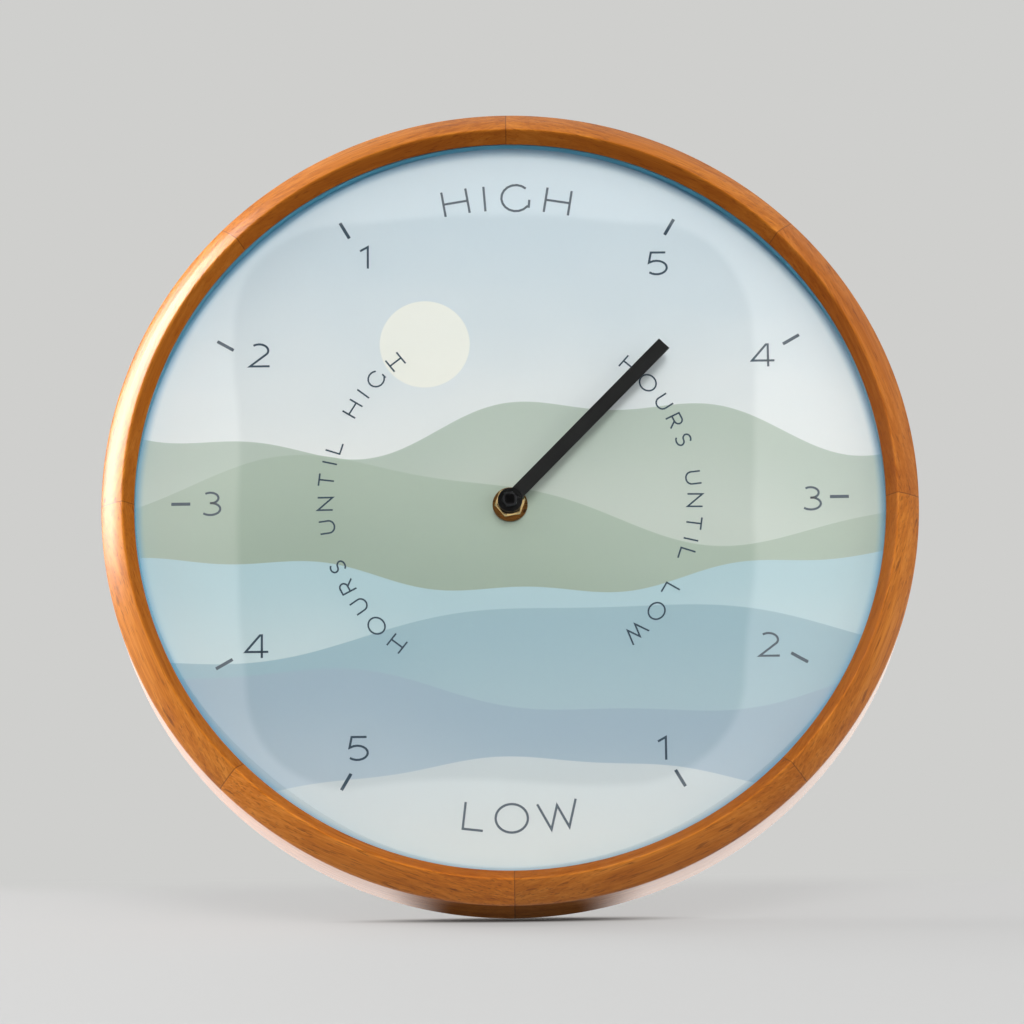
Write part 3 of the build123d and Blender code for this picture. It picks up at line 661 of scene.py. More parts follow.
def softened(name, node, width, limit=32.0):
    """A copy of a CAD node whose sharp edges are rounded by a small width."""
    form = bmesh.new()
    form.from_mesh(nodes[node].data)
    bmesh.ops.remove_doubles(form, verts=form.verts, dist=1e-6)
    bmesh.ops.dissolve_limit(form, angle_limit=math.radians(0.5), verts=form.verts, edges=form.edges)
    sharp = [edge for edge in form.edges
             if len(edge.link_faces) == 2 and edge.calc_face_angle() > math.radians(limit)]
    bmesh.ops.bevel(form, geom=sharp, offset=width, offset_type="OFFSET", segments=2, profile=0.5,
                    affect="EDGES", clamp_overlap=True)
    return new_object(name, shade_by_angle(mesh_of(name, form), 20))


INK_THICKNESS = 0.00006


def bow(across, up, wide, high, first, last, steps=14):
    """Points on a part of an oval, given by its middle, half sizes and two angles."""
    points = []
    for step in range(steps + 1):
        angle = math.radians(first + (last - first) * step / steps)
        points.append((across + wide * math.cos(angle), up + high * math.sin(angle)))
    return points


# Single-line letters: their width and strokes, in shares of their height
LETTERS = {
    "1": (0.36, [[(0.0, 0.80), (0.34, 0.99), (0.34, 0.0)]]),
    "2": (0.88, [bow(0.42, 0.71, 0.40, 0.29, 128, -28) + [(0.02, 0.0), (0.88, 0.0)]]),
    "3": (0.80, [bow(0.36, 0.76, 0.35, 0.24, 128, -70) + [(0.34, 0.53)],
                 [(0.34, 0.53)] + bow(0.36, 0.27, 0.43, 0.27, 72, -135)]),
    "4": (1.0, [[(0.72, 0.0), (0.72, 1.0), (0.64, 1.0), (0.02, 0.27), (1.0, 0.27)]]),
    "5": (0.86, [[(0.80, 1.0), (0.16, 1.0), (0.07, 0.53)] + bow(0.40, 0.31, 0.45, 0.31, 128, -135)]),
    "H": (0.94, [[(0.0, 0.0), (0.0, 1.0)], [(0.94, 0.0), (0.94, 1.0)], [(0.0, 0.5), (0.94, 0.5)]]),
    "I": (0.05, [[(0.025, 0.0), (0.025, 1.0)]]),
    "G": (1.08, [bow(0.56, 0.50, 0.56, 0.53, 48, 322) + [(1.06, 0.16), (1.08, 0.44)]]),
    "L": (0.74, [[(0.0, 1.0), (0.0, 0.0), (0.74, 0.0)]]),
    "O": (1.18, [bow(0.59, 0.50, 0.59, 0.53, 0, 360, 32)]),
    "W": (1.42, [[(0.0, 1.0), (0.38, 0.0), (0.71, 0.86), (1.04, 0.0), (1.42, 1.0)]]),
    "U": (0.84, [[(0.0, 1.0)] + bow(0.42, 0.38, 0.42, 0.38, 180, 360) + [(0.84, 1.0)]]),
    "R": (0.74, [[(0.0, 0.0), (0.0, 1.0)] + bow(0.40, 0.73, 0.29, 0.27, 90, -90) + [(0.0, 0.46)],
                 [(0.38, 0.46), (0.74, 0.0)]]),
    "S": (0.70, [bow(0.36, 0.75, 0.30, 0.25, 38, 250) + bow(0.34, 0.26, 0.34, 0.26, 66, -142)]),
    "N": (0.86, [[(0.0, 0.0), (0.0, 1.0), (0.86, 0.0), (0.86, 1.0)]]),
    "T": (0.86, [[(0.0, 1.0), (0.86, 1.0)], [(0.43, 1.0), (0.43, 0.0)]]),
}


# Least cosine that widens a ribbon at a corner, so that a sharp one is not drawn out
CORNER_LIMIT = 0.35


def stroke(form, points, width, lift):
    """Adds a raised ribbon along points in the plane of the dial; joined ends make it a ring."""
    flat = [Vector(point) for index, point in enumerate(points)
            if index == 0 or (Vector(point) - Vector(points[index - 1])).length > 1e-7]
    ring = (flat[0] - flat[-1]).length < 1e-7
    if ring:
        flat.pop()
    rows = []
    for index, point in enumerate(flat):
        before = flat[index - 1] if ring or index else None
        after = flat[(index + 1) % len(flat)] if ring or index < len(flat) - 1 else None
        headings = [(end - start).normalized() for start, end in ((before, point), (point, after))
                    if start is not None and end is not None]
        middle = sum(headings, Vector((0, 0))).normalized()
        side = Vector((-middle.y, middle.x))
        spread = width / 2 / max(side.dot(Vector((-headings[0].y, headings[0].x))), CORNER_LIMIT)
        rows.append([form.verts.new((point.x + side.x * spread * s, depth, point.y + side.y * spread * s))
                     for s, depth in ((1, -lift), (1, 0), (-1, 0), (-1, -lift))])
    for first, second in zip(rows, rows[1:] + rows[:1] if ring else rows[1:]):
        for index in range(4):
            form.faces.new((first[index], first[(index + 1) % 4], second[(index + 1) % 4], second[index]))
    if not ring:
        form.faces.new(rows[0])
        form.faces.new(rows[-1][::-1])


def ribbons(name, lines, depth, rise, lift):
    """One object of raised ribbons, each its points and width; a lift below zero raises them backwards."""
    form = bmesh.new()
    for points, width in lines:
        stroke(form, points, width, lift)
    bmesh.ops.translate(form, verts=form.verts, vec=(0, depth, rise))
    bmesh.ops.recalc_face_normals(form, faces=form.faces)
    return new_object(name, mesh_of(name, form))


def lettering(name, placed, rise):
    """One object of printed characters: each a letter, height, stroke, middle (across, up) and lean."""
    lines = []
    for letter, height, width, (across, up), lean in placed:
        span, strokes = LETTERS[letter]
        for points in strokes:
            moved = []
            for x, y in points:
                x, y = (x - span / 2) * height, (y - 0.5) * height
                moved.append((across + x * math.cos(lean) - y * math.sin(lean),
                              up + x * math.sin(lean) + y * math.cos(lean)))
            lines.append((moved, width))
    return ribbons(name, lines, DIAL_FRONT, rise, INK_THICKNESS)


# Width of the space between two words, as a share of their height
WORD_SPACE = 0.55
# Each numeral, the angle of its middle and how far it stands out of the numeral circle
NUMERALS = (("1", 119.5, 0.0), ("2", 148.4, 0.0), ("3", 180.0, 0.0016), ("4", 210.2, -0.0006),
            ("5", 238.7, 0.0), ("5", 58.4, -0.0018), ("4", 30.0, 0.0006), ("3", -0.3, 0.0026),
            ("2", -30.6, 0.0008), ("1", -60.0, 0.0))


def word_round(text, radius, height, width, first, last, tops_out):
    """Letters of a word on an arc, from the first letter's middle angle to the last one's."""
    spans = [(LETTERS[letter][0] if letter != " " else WORD_SPACE) * height for letter in text]
    steps = [(a + b) / 2 for a, b in zip(spans, spans[1:])]
    gap = (abs(math.radians(last - first)) * radius - sum(steps)) / len(steps)
    sense = 1 if last > first else -1
    angle, placed = math.radians(first), []
    for index, letter in enumerate(text):
        if letter != " ":
            lean = angle - math.pi / 2 if tops_out else angle + math.pi / 2
            placed.append((letter, height, width, (radius * math.cos(angle), radius * math.sin(angle)), lean))
        if index < len(steps):
            angle += sense * (steps[index] + gap) / radius
    return placed


# Sizes, colours and levels that the user changes

def length(name, description, default):
    return bpy.props.FloatProperty(name=name, description=description, default=default,
                                   unit="LENGTH", precision=5)


def paint(name, description, default):
    return bpy.props.FloatVectorProperty(name=name, description=description, default=default,
                                         size=4, subtype="COLOR", min=0, max=1)


class TideClockDial(bpy.types.PropertyGroup):
    """Sizes and colours of the dial's printing."""

    tick_radius: length("Tick radius", "Radius of the middle of the ticks", 0.1211)
    tick_length: length("Tick length", "Length of a tick", 0.0070)
    tick_width: length("Tick width", "Width of a tick", 0.0012)
    numeral_height: length("Numeral height", "Height of the numerals", 0.0085)
    numeral_radius: length("Numeral radius", "Radius of the circle of the numerals", 0.1083)
    print_rise: length("Print rise", "How far the print sits above the hand's axis", 0.0017)
    ink_colour: paint("Ink", "Colour of ticks and lettering", colour(50, 68, 82))


class TideClockFrame(bpy.types.PropertyGroup):
    """Form of the wooden frame."""

    crest_round: length("Crest rounding", "Radius that softens the crest", 0.0011)
    edge_round: length("Edge rounding", "Radius that softens the outer edge", 0.0009)
    slope_bulge: length("Slope bulge", "How far the front slope is crowned", 0.00045)


def level(name, description, default):
    return bpy.props.FloatProperty(name=name, description=description, default=default, min=0, max=4)


class TideClockStudio(bpy.types.PropertyGroup):
    """Light and place of the studio; a light's level is its share of the light that renders white as white."""

    top_level: level("Top light", "Level of the soft light from above", 0.16)
    left_level: level("Left light", "Level of the light from the left", 0.25)
    side_level: level("Side light", "Level of the light from the left and a little behind", 0.98)
    right_level: level("Right light", "Level of the light from the right", 0.25)
    front_level: level("Front light", "Level of the light from the front", 0.70)
    rear_level: level("Rear light", "Level of the light from behind", 0.5)
    bounce_level: level("Bounce", "Level of the light that comes up from below on the lower edge", 0.38)
    surround_level: level("Surround", "Level of the light from all round", 0.22)
    card_glow: level("Reflected card", "Brightness of the card that the glass reflects", 1.0)
    floor_shade: bpy.props.FloatProperty(name="Floor", description="Grey of the floor", default=0.60,
                                         min=0, max=1)
    lean: bpy.props.FloatProperty(name="Lean", description="How far the clock leans back on the floor",
                                  default=math.radians(18.0), subtype="ANGLE")


# The frame's section. Depths are from the crest: of the bevel's edge, the lip under it and the slope's end
APERTURE_RADIUS, CREST_RADIUS, FRAME_RADIUS = 0.1377, 0.1417, 0.1500
APERTURE_DEPTH, LIP_DEPTH, SLOPE_DROP = 0.0052, 0.0060, 0.0081
# The slope's width, its number of steps and what its bulge adds to each direction
SLOPE_WIDTH, SLOPE_STEPS, SLOPE_NORMAL = 0.0083, 12, 0.7
# The unrounded crest stands out by the spare, and what is less deep than the crest is then moved so that it
# ends at the front of the frame
CREST_SPARE, CREST_DEPTH = 0.00005, 0.004
GLASS_RABBET, BOARD_RABBET = 0.1410, 0.1460
REAR_CHAMFER = 0.0010
BEVEL_EDGE_ROUND, LIP_ROUND, REAR_ROUND, RABBET_ROUND = 0.0003, 0.0002, 0.0004, 0.0002
SEGMENT_ANGLE = 360 / SEGMENTS
# Lightness and redness of each segment's wood, clockwise from 12 o'clock: partly its own tone, partly painted
# light, as the segments from 6 to 9 o'clock are made lighter for light from below
WOOD_TONES_AND_PAINTED_LIGHT = ((1.0, 1.0), (0.86, 1.08), (1.04, 1.0), (0.97, 1.03),
              (1.23, 1.03), (1.10, 1.0), (1.06, 0.97), (1.0, 1.0))


class TIDECLOCK_OT_frame(bpy.types.Operator):
    """Builds the eight mitred segments of the wooden frame"""

    bl_idname = "tide_clock.frame"
    bl_label = "Wooden frame"

    def execute(self, context):
        values = context.scene.tide_clock_frame
        front = CREST
        corners = [(APERTURE_RADIUS, front + LIP_DEPTH), (APERTURE_RADIUS, front + APERTURE_DEPTH),
                   (CREST_RADIUS, front - CREST_SPARE)]
        slope = []
        for step in range(1, SLOPE_STEPS):
            share = step / SLOPE_STEPS
            bulge = 4 * share * (1 - share) * values.slope_bulge * SLOPE_NORMAL
            slope.append((CREST_RADIUS + share * SLOPE_WIDTH + bulge, front + share * SLOPE_DROP - bulge))
        rear = [(FRAME_RADIUS, front + SLOPE_DROP), (FRAME_RADIUS, REAR - REAR_CHAMFER),
                (FRAME_RADIUS - REAR_CHAMFER, REAR), (BOARD_RABBET, REAR), (BOARD_RABBET, BOARD_FRONT),
                (GLASS_RABBET, BOARD_FRONT), (GLASS_RABBET, front + LIP_DEPTH)]
        radii = [LIP_ROUND, BEVEL_EDGE_ROUND, values.crest_round] + [0] * len(slope)
        radii += [values.edge_round, REAR_ROUND, REAR_ROUND, RABBET_ROUND, 0, 0, 0]
        outline = rounded(corners + slope + rear, radii)
        spare = front - min(depth for _, depth in outline)
        outline = [(radius, max(depth + (spare if depth < front + CREST_DEPTH else 0), front))
                   for radius, depth in outline]
        for index in range(SEGMENTS):
            number = index + 1
            start = 90 - number * SEGMENT_ANGLE
            middle = start + SEGMENT_ANGLE / 2
            piece = turned("wood_segment_%d" % number, outline, start, SEGMENT_ANGLE, 60)
            use(piece, wood("wood_%d" % number, middle, *WOOD_TONES_AND_PAINTED_LIGHT[index]), "clock_body",
                "wood_a" if index % 2 == 0 else "wood_b", "frame_segment_%d" % number)
        return {"FINISHED"}


GLASS_THICKNESS, GLASS_RIM = 0.0015, 0.0033
DOME_RISE, DOME_ZONES = 0.0056, 40
DOME_RADIUS = GLASS_RADIUS - GLASS_RIM


class TIDECLOCK_OT_glass(bpy.types.Operator):
    """Builds the domed glass with its flat rim"""

    bl_idname = "tide_clock.glass"
    bl_label = "Domed glass"

    def execute(self, context):
        front = GLASS_REAR - GLASS_THICKNESS
        outside = [(DOME_RADIUS * step / DOME_ZONES, front - DOME_RISE * (1 - (step / DOME_ZONES) ** 2))
                   for step in range(DOME_ZONES + 1)]
        inside = [(radius, depth + GLASS_THICKNESS) for radius, depth in outside]
        profile = outside + [(GLASS_RADIUS, front), (GLASS_RADIUS, GLASS_REAR)] + inside[::-1]
        piece = turned("domed_glass", profile)
        use(piece, glass(), "clock_body", "glass", "glass_lens")
        return {"FINISHED"}


NUMERAL_STROKE = 0.00082
# Each word: its radius, height, stroke, the angles of its first and last letter, and whether the tops
# of its letters point out
WORDS = (("HIGH", 0.117, 0.0097, 0.00086, 99.4, 80.6, True),
         ("LOW", 0.119, 0.0099, 0.00086, -96.9, -82.2, False),
         ("HOURS UNTIL HIGH", 0.068, 0.0055, 0.00062, 232, 128, True),
         ("HOURS UNTIL LOW", 0.068, 0.0055, 0.00062, 49, -48, True))


class TIDECLOCK_OT_dial(bpy.types.Operator):
    """Paints the dial and prints its ticks, numerals and words"""

    bl_idname = "tide_clock.dial"
    bl_label = "Dial and lettering"

    def execute(self, context):
        values = context.scene.tide_clock_dial
        dress(dial_picture(), "dial_print")
        dress(moulded("teal_spacer", colour(84, 168, 196), 0.45), "spacer_ring")
        dress(fibreboard(), "dial_board")
        printed = ink("slate_ink", tuple(values.ink_colour))

        # The ticks stand as on an hour dial, without the two at 12 and 6 o'clock, where the words are
        ticks = from_nodes("dial_ticks", around_tree("Ticks", printed), {
            "Size": (values.tick_length, INK_THICKNESS, values.tick_width), "Radius": values.tick_radius,
            "Count": 12, "First angle": 0.0, "Keep clear": 0.001,
            "Place": (0, DIAL_FRONT - INK_THICKNESS / 2, values.print_rise)}, printed)
        use(ticks, printed, "clock_body", "dial")

        numerals = []
        for number, angle, step_out in NUMERALS:
            radius, turn = values.numeral_radius + step_out, math.radians(angle)
            place = (radius * math.cos(turn), radius * math.sin(turn))
            numerals.append((number, values.numeral_height, NUMERAL_STROKE, place, 0.0))
        use(lettering("dial_numerals", numerals, values.print_rise), printed, "clock_body", "dial")
        words = [letter for word in WORDS for letter in word_round(*word)]
        use(lettering("dial_words", words, values.print_rise), printed, "clock_body", "dial")
        return {"FINISHED"}


class TIDECLOCK_OT_hand(bpy.types.Operator):
    """Finishes the hand, its nut and the clamped washer, nut and bushing"""

    bl_idname = "tide_clock.hand"
    bl_label = "Hand and shaft nut"

    def execute(self, context):
        satin = black_lacquer("satin_black", colour(8, 8, 9), 0.47, 0.2)
        plate = metal("black_plate", colour(58, 58, 61), 0.11, (900, 900, 900))
        bronze = metal("dull_bronze", colour(146, 102, 52), 0.30)
        brass = metal("bright_brass", colour(236, 204, 146), 0.15)
        for name, node, edge, material, body, slot in (
                ("black_hand", "tide_hand", 0.00012, satin, "hand_arbor", "black_metal"),
                ("black_cap_nut", "hand_cap_nut", 0.00026, plate, "hand_arbor", "black_metal"),
                ("brass_nut", "shaft_nut", 0.00036, brass, "clock_body", "brass"),
                ("bronze_washer", "shaft_washer", 0.00020, bronze, "clock_body", "bronze")):
            use(softened(name, node, edge), material, body, slot, node)
        dress(brass, "threaded_bushing")
        return {"FINISHED"}


# The board's screws stand on a circle, at the middles of four of the segments
BOARD_SCREW_CIRCLE = 0.1434
BOARD_SCREWS = [(BOARD_SCREW_CIRCLE * math.cos(angle), BOARD_SCREW_CIRCLE * math.sin(angle))
                for angle in map(math.radians, (67.5, -22.5, -112.5, 157.5))]
COVER_SCREWS = [(-0.0236, 0.0236), (0.0236, -0.0082), (-0.0236, -0.0082)]
# Outline of the dry cell: radius and place along it, from its flat end to its nub
CELL_PROFILE = ((0.0, 0.0), (0.0044, 0.0), (0.0048, 0.0003), (0.0062, 0.0003), (0.0066, 0.0), (0.0069, 0.0002),
                (0.0070, 0.0006), (0.0070, 0.0476), (0.0068, 0.0479), (0.0068, 0.0483), (0.0065, 0.0487),
                (0.0060, 0.0489), (0.0030, 0.0490), (0.0027, 0.0492), (0.0027, 0.0499), (0.0024, 0.0502),
                (0.0, 0.0502))
# Marks on the cover: the arrow round the knob, and the signs over the battery's ends
MARK_STROKE, MARK_THICKNESS = 0.0005, 0.00025
ARROW_RADIUS, ARROW_ENDS, ARROW_STEPS = 0.0096, (35, 145), 24
BARB_LENGTH, BARB_SPREAD = 0.0017, 30
SIGN_HALF, SIGN_ACROSS, SIGN_HEIGHT = 0.0016, 0.0165, -0.0085


class TIDECLOCK_OT_movement(bpy.types.Operator):
    """Finishes the movement, the battery, the hanger and what is inside the case"""

    bl_idname = "tide_clock.movement"
    bl_label = "Movement and hanger"

    def execute(self, context):
        moulding = moulded("case_plastic", colour(26, 26, 28), 0.5)
        steel = metal("zinc_steel", colour(176, 177, 178), 0.34)
        for name, node, edge, material, body, slot in (
                ("moulded_case", "movement_case", 0.00022, moulding, "clock_body", "black_plastic"),
                ("moulded_cover", "movement_cover", 0.00022, moulding, "clock_body", "black_plastic"),
                ("moulded_knob", "setting_knob", 0.00014, moulding, "setting_arbor", "black_plastic"),
                ("steel_hanger", "hanger_plate", 0.00010, steel, "clock_body", "steel")):
            use(softened(name, node, edge), material, body, slot, node)
        dress(steel, "bridge_screws", "stator", "coil_core")
        self.add_screws(steel)
        self.add_marks(moulded("pale_print", colour(168, 168, 166), 0.55))
        dress(moulded("foam_rubber", colour(18, 18, 18), 0.8, 1600, 0.0001), "case_gasket")
        white = moulded("white_acetal", colour(226, 224, 214), 0.42)
        dress(white, "train_bridge", "tide_wheel", "setting_wheel", "minute_wheel", "third_wheel",
              "second_wheel", "first_wheel", "coil_bobbin")
        dress(moulded("amber_acetal", colour(204, 170, 104), 0.4), "minute_pinion", "rotor_pinion")
        dress(metal("spring_steel", colour(204, 203, 198), 0.22),
              "friction_spring", "plus_contact", "minus_contact")
        dress(metal("sintered_magnet", colour(78, 78, 82), 0.5, (400, 400, 400)), "rotor_magnet")
        dress(wound_wire(), "coil_winding")
        dress(moulded("board_lacquer", colour(38, 84, 48), 0.35), "circuit_board")
        dress(moulded("potting_resin", colour(14, 14, 15), 0.3), "clock_chip")
        dress(metal("crystal_can", colour(206, 206, 208), 0.2), "quartz_crystal")
        low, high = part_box("battery")
        cell = turned("dry_cell", [(radius, low.x + along) for radius, along in CELL_PROFILE], steps=72)
        laid_across = Matrix.Rotation(math.radians(-90), 4, "Z")
        cell.data.transform(Matrix.Translation((0, (low.y + high.y) / 2, (low.z + high.z) / 2)) @ laid_across)
        use(cell, jacket(), "battery_cell", "battery_jacket", "battery")
        return {"FINISHED"}

    def add_screws(self, steel):
        tree = screw_tree("Screws", steel)
        for name, node, places, head_radius, head_height, shaft_radius in (
                ("board_pan_screws", "board_screws", BOARD_SCREWS, 0.0021, 0.0014, 0.0011),
                ("cover_pan_screws", "cover_screws", COVER_SCREWS, 0.00176, 0.0007, 0.0008)):
            low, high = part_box(node)
            seat = high.y - head_height
            made = from_nodes(name, tree, {
                "Head radius": head_radius, "Head height": head_height, "Shaft radius": shaft_radius,
                "Shaft length": seat - low.y, "Recess length": head_radius * 1.2,
                "Recess width": head_radius * 0.26, "Recess depth": head_height * 0.6,
            }, steel, [(x, seat, z) for x, z in places])
            use(made, steel, "clock_body", "steel", node)

    def add_marks(self, pale):
        cover_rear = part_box("movement_cover")[1].y
        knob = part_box("setting_knob")
        knob_height = (knob[0].z + knob[1].z) / 2
        arc = bow(0.0, knob_height, ARROW_RADIUS, ARROW_RADIUS, *ARROW_ENDS, ARROW_STEPS)
        lines = [arc]
        for (across, up), heading in ((arc[0], 118), (arc[-1], 62)):
            for spread in (-BARB_SPREAD, BARB_SPREAD):
                angle = math.radians(heading + spread)
                end = (across + BARB_LENGTH * math.cos(angle), up + BARB_LENGTH * math.sin(angle))
                lines.append([(across, up), end])
        for across in (SIGN_ACROSS, -SIGN_ACROSS):
            lines.append([(across - SIGN_HALF, SIGN_HEIGHT), (across + SIGN_HALF, SIGN_HEIGHT)])
        lines.append([(SIGN_ACROSS, SIGN_HEIGHT - SIGN_HALF), (SIGN_ACROSS, SIGN_HEIGHT + SIGN_HALF)])
        marks = ribbons("cover_marks", [(line, MARK_STROKE) for line in lines], cover_rear, 0, -MARK_THICKNESS)
        use(marks, pale, "clock_body", "black_plastic")


# Place of the photograph's camera, solved from the outline of the frame: how far it looks up, its roll,
# its distance from the middle of the aperture, its focal length, and how far its aim is off that middle,
# the last two in pixels
TILT, ROLL = math.radians(15), math.radians(0.676)
DISTANCE = 1.7818
FOCAL_PIXELS, IMAGE_PIXELS = 4864, 1024
AIM = (-1.9, 11.9)
SENSOR = 36.0


def look_from_photograph():
    """Camera of the photograph: below the clock's axis, aimed a little off the dial's centre."""
    middle = Vector((0, CREST + APERTURE_DEPTH, 0))
    ahead = Vector((0, math.cos(TILT), math.sin(TILT)))
    level = Vector((1, 0, 0))
    rise = level.cross(ahead)
    top = rise * math.cos(ROLL) + level * math.sin(ROLL)
    side = level * math.cos(ROLL) - rise * math.sin(ROLL)
    aimed = (ahead - side * (AIM[0] / FOCAL_PIXELS) - top * (AIM[1] / FOCAL_PIXELS)).normalized()
    side = aimed.cross(top).normalized()
    top = side.cross(aimed)
    data = bpy.data.cameras.new("camera")
    data.sensor_width = SENSOR
    data.lens = FOCAL_PIXELS / IMAGE_PIXELS * SENSOR
    data.clip_start, data.clip_end = 0.05, 30
    made = bpy.data.objects.new("camera", data)
    made.matrix_world = Matrix((
        (side.x, top.x, -aimed.x, 0), (side.y, top.y, -aimed.y, 0), (side.z, top.z, -aimed.z, 0), (0, 0, 0, 1)))
    made.location = middle - ahead * DISTANCE
    bpy.context.scene.collection.objects.link(made)
    bpy.context.scene.camera = made


def area_light(name, place, size, level):
    """Square light aimed at the clock; its power gives the level there."""
    data = bpy.data.lights.new(name, "AREA")
    data.shape, data.size = "SQUARE", size
    data.energy = level * math.pi ** 2 * Vector(place).length_squared
    made = bpy.data.objects.new(name, data)
    made.location = place
    made.rotation_euler = (-Vector(place)).to_track_quat("-Z", "Y").to_euler()
    made.visible_glossy = False
    bpy.context.scene.collection.objects.link(made)


# Place of each light and the side of its square; the bounce light shines up through the floor's clear back
LIGHTS = {
    "top": ((0, -1.1, 1.5), 1.2), "left": ((-1.5, -0.5, 0.4), 0.9), "side": ((-1.5, 0.2, 0.4), 0.6),
    "right": ((1.3, -0.9, 0.1), 0.9), "front": ((0.15, -1.5, 0.55), 0.8), "rear": ((-0.5, 1.5, 0.75), 1.0),
    "bounce": ((0, -0.31, -0.345), 0.16),
}
# The floor's distance below the hand's axis, and half of its sides
FLOOR_BELOW = 0.1484
FLOOR_LENGTH, FLOOR_WIDTH = 2.2, 2.5


class TIDECLOCK_OT_studio(bpy.types.Operator):
    """Sets up the camera, the lights, the floor and the background"""

    bl_idname = "tide_clock.studio"
    bl_label = "Studio"

    def execute(self, context):
        values = context.scene.tide_clock_studio
        scene = context.scene
        scene.view_settings.view_transform = "Standard"
        look_from_photograph()
        away = Vector((0, math.cos(values.lean), math.sin(values.lean)))
        normal = Vector((0, -math.sin(values.lean), math.cos(values.lean)))
        middle = normal * -FLOOR_BELOW
        floor_mesh = bpy.data.meshes.new("floor")
        floor_mesh.from_pydata([middle + away * back + Vector((side, 0, 0)) for back, side in (
            (-FLOOR_LENGTH, -FLOOR_WIDTH), (-FLOOR_LENGTH, FLOOR_WIDTH), (FLOOR_LENGTH, FLOOR_WIDTH),
            (FLOOR_LENGTH, -FLOOR_WIDTH))], [], [(0, 1, 2, 3)])
        floor = new_object("floor", floor_mesh)
        floor_mesh.materials.append(floor_finish(away, middle, values.floor_shade))
        floor.visible_diffuse = False
        for name, (place, size) in LIGHTS.items():
            area_light(name + "_light", place, size, getattr(values, name + "_level"))
        reflected_window(values.card_glow)
        left_glow()
        scene.world = surround(values.surround_level)
        return {"FINISHED"}


# The dark opening that the glass reflects: azimuth and elevation of its middle, half of its angles,
# radius of its corners, half width of its soft edge and how wavy that is, and its glow
WINDOW_DISTANCE = 3.0
WINDOW_MIDDLE = (math.radians(-0.7), math.radians(14.9))
WINDOW_HALF = (math.radians(10.8), math.radians(12.5))
WINDOW_CORNER, WINDOW_EDGE, WINDOW_WAVE = 0.24, 0.012, 0.08
WINDOW_DARK = 0.04
CARD_HALF = 1.9
CARD_TINT = (1, 0.985, 0.96, 1)


def reflected_card(name, toward, distance, half, dim, bright, share_at):
    """A square card seen only in reflections; its glow follows the places along its sides."""
    side = Vector((0, 0, 1)).cross(toward).normalized()
    rise = toward.cross(side)
    square = [(-half, -half), (half, -half), (half, half), (-half, half)]
    mesh = bpy.data.meshes.new(name)
    mesh.from_pydata([toward * distance + side * x + rise * z for x, z in square], [], [(0, 1, 2, 3)])
    mapped = mesh.uv_layers.new(name="sides")
    for loop, corner in zip(mapped.data, square):
        loop.uv = corner
    made = new_object(name, mesh)
    finish = Finish(name + "_glow")
    x, z, _ = finish.axes(finish.node("TexCoord", {}, (), "UV"))
    glows = [finish.node("Emission", {}, {"Color": CARD_TINT, "Strength": glow}) for glow in (dim, bright)]
    mesh.materials.append(finish.ends_in(finish.node("MixShader", {}, (share_at(finish, x, z), *glows))))
    made.visible_camera = made.visible_diffuse = made.visible_shadow = False
    made.visible_transmission = made.visible_volume_scatter = False


def reflected_window(glow):
    """Pale card with a dark rounded opening, which gives the glass its veils."""
    azimuth, elevation = WINDOW_MIDDLE
    toward = Vector((math.sin(azimuth) * math.cos(elevation), -math.cos(azimuth) * math.cos(elevation),
                     math.sin(elevation)))
    wide, high = (math.tan(half) * WINDOW_DISTANCE for half in WINDOW_HALF)

    def share_at(finish, x, z):
        wave = (finish.mottle(2.2, 1.0, 0.5) - 0.5) * WINDOW_WAVE
        past_side = (abs(x) - (wide - WINDOW_CORNER)).larger(0.0)
        past_top = (abs(z) - (high - WINDOW_CORNER)).larger(0.0)
        past_corner = reach(past_side, past_top) + wave
        return finish.spread(past_corner, WINDOW_CORNER - WINDOW_EDGE, WINDOW_CORNER + WINDOW_EDGE)

    reflected_card("pale_card", toward, WINDOW_DISTANCE, CARD_HALF, WINDOW_DARK, glow, share_at)


# The bright card that the frame's left slope reflects: half of its glowing part, the shares of that
# between which the glow fades, half of the whole card, and the glow
GLOW_TOWARD, GLOW_DISTANCE = Vector((-0.84, 0.06, 0.46)).normalized(), 1.5
GLOW_WIDE, GLOW_HIGH = 0.33, 0.75
GLOW_FADE = (0.4, 1.25)
GLOW_CARD_HALF = 0.95
LEFT_GLOW = 26.0


def left_glow():
    """Bright card high on the left, whose reflection runs down the frame's left slope."""
    def share_at(finish, x, z):
        past = (abs(x) / GLOW_WIDE).larger(abs(z) / GLOW_HIGH)
        return 1 - finish.spread(past, *GLOW_FADE)

    reflected_card("left_glow", GLOW_TOWARD, GLOW_DISTANCE, GLOW_CARD_HALF, 0.0, LEFT_GLOW, share_at)


BACKGROUND = colour(207, 207, 205)
# The floor glows a little by itself, so that it stays pale, but not under the clock
FLOOR_GLOW, FLOOR_GLOW_SHARE = (0.60, 0.60, 0.596, 1), 0.72
# Where the frame stands, measured along the floor, and half sizes of the painted contact shadow there
STANDING_AT = -0.0297
SHADOW_WIDE, SHADOW_DEEP, SHADOW_SHADE = 0.078, 0.0095, (0.02, 0.018, 0.016, 1)
# Painted reflection that the wood alone sees of the floor behind the contact: a dark painted shade with these
# half sizes, and pale light round it
REFLECTED_WIDE, REFLECTED_DEEP, REFLECTED_DARK = 0.058, 0.045, (0.01, 0.008, 0.006, 1)
REFLECTED_PALE, REFLECTED_GLOW = (1, 0.93, 0.885, 1), 1.42
# Where along the floor that begins
REFLECTED_FROM = (STANDING_AT - 0.028, STANDING_AT - 0.014)
# The floor fades into the background along itself behind the clock, and all round at a distance
FLOOR_SEAM, FLOOR_REACH = (0.045, 0.095), (0.33, 0.60)


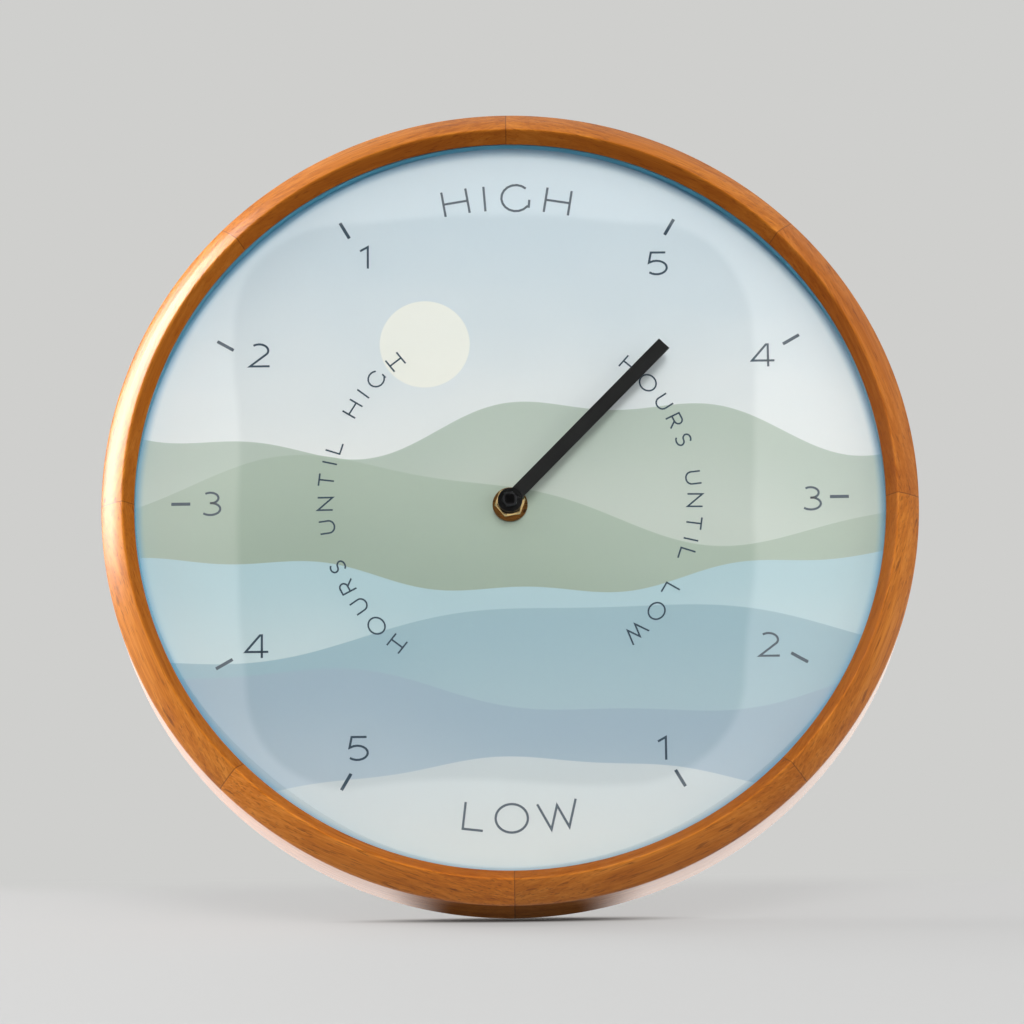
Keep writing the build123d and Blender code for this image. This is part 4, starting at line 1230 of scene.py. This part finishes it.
def floor_finish(away, middle, shade):
    """Pale matt floor, seen from above only, that fades into the background at its far edge."""
    finish = Finish("studio_floor")
    offset = finish.node("VectorMath", {"operation": "SUBTRACT"}, (finish.place, middle))
    along = finish.node("VectorMath", {"operation": "DOT_PRODUCT"}, (offset, away), "Value")
    across = finish.axes()[0]

    def past_oval(wide, deep, inner):
        """Share by which a place is outside an oval round the contact."""
        return finish.spread(reach(across / wide, (along - STANDING_AT) / deep), inner, 1.0)

    def glow(tint, strength=1.0):
        return finish.node("Emission", {}, {"Color": tint, "Strength": strength})

    def mixed(share, first, second):
        return finish.node("MixShader", {}, (share, first, second))

    # Painted contact shadow in the floor's colour round where the frame stands
    under = 1 - past_oval(SHADOW_WIDE, SHADOW_DEEP, 0.25)
    matt = finish.node("BsdfPrincipled", {}, {
        "Base Color": finish.blended(under, (shade, shade, shade * 0.99, 1), SHADOW_SHADE), "Roughness": 0.85})
    near = mixed((1 - under) * FLOOR_GLOW_SHARE, matt, glow(FLOOR_GLOW))
    far = finish.node("VectorMath", {"operation": "LENGTH"}, (offset,), "Value")
    past = finish.spread(along, *FLOOR_SEAM).larger(finish.spread(far, *FLOOR_REACH))
    seen = mixed(past, near, glow(BACKGROUND))
    # Painted reflection for glossy rays: painted shade under the frame, pale glow round it
    painted_reflection = mixed(past_oval(REFLECTED_WIDE, REFLECTED_DEEP, 0.4), glow(REFLECTED_DARK),
                    glow(REFLECTED_PALE, REFLECTED_GLOW))
    mirrored = finish.node("LightPath", {}, (), "Is Glossy Ray") * finish.spread(along, *REFLECTED_FROM)
    top = mixed(mirrored, seen, painted_reflection)
    below = finish.node("NewGeometry", {}, (), "Backfacing")
    return finish.ends_in(mixed(below, top, finish.node("BsdfTransparent", {}, {})))


def surround(level):
    """Soft light from all round; seen directly, through glass or in a reflection it is the pale background."""
    finish = Finish("surround", of_world=True)
    camera, through, mirrored = (finish.node("LightPath", {}, (), "Is %s Ray" % kind)
                                 for kind in ("Camera", "Transmission", "Glossy"))
    light = finish.node("Background", {}, {"Color": (1, 1, 1, 1), "Strength": level})
    seen = finish.node("Background", {}, {"Color": BACKGROUND, "Strength": 1.0})
    return finish.ends_in(finish.node("MixShader", {}, (camera.larger(through).larger(mirrored), light, seen)))


class TIDECLOCK_PT_panel(bpy.types.Panel):
    """Lists the pieces of the clock"""

    bl_idname = "TIDECLOCK_PT_panel"
    bl_label = "Tide clock"
    bl_space_type = "VIEW_3D"
    bl_region_type = "UI"
    bl_category = "Tide clock"

    def draw(self, context):
        for operator in PIECES:
            self.layout.operator(operator.bl_idname)
        for group_name, group in GROUPS.items():
            box = self.layout.box()
            for name in group.__annotations__:
                box.prop(getattr(context.scene, group_name), name)


GROUPS = {"tide_clock_dial": TideClockDial, "tide_clock_frame": TideClockFrame,
          "tide_clock_studio": TideClockStudio}
PIECES = (TIDECLOCK_OT_frame, TIDECLOCK_OT_glass, TIDECLOCK_OT_dial, TIDECLOCK_OT_hand, TIDECLOCK_OT_movement,
          TIDECLOCK_OT_studio)


def register():
    for name, group in GROUPS.items():
        bpy.utils.register_class(group)
        setattr(bpy.types.Scene, name, bpy.props.PointerProperty(type=group))
    for operator in PIECES:
        bpy.utils.register_class(operator)
    bpy.utils.register_class(TIDECLOCK_PT_panel)


def unregister():
    bpy.utils.unregister_class(TIDECLOCK_PT_panel)
    for operator in reversed(PIECES):
        bpy.utils.unregister_class(operator)
    for name, group in GROUPS.items():
        delattr(bpy.types.Scene, name)
        bpy.utils.unregister_class(group)


def main():
    register()
    bpy.ops.tide_clock.frame()
    bpy.ops.tide_clock.glass()
    bpy.ops.tide_clock.dial()
    bpy.ops.tide_clock.hand()
    bpy.ops.tide_clock.movement()
    bpy.ops.tide_clock.studio()


if __name__ == "__main__":
    main()
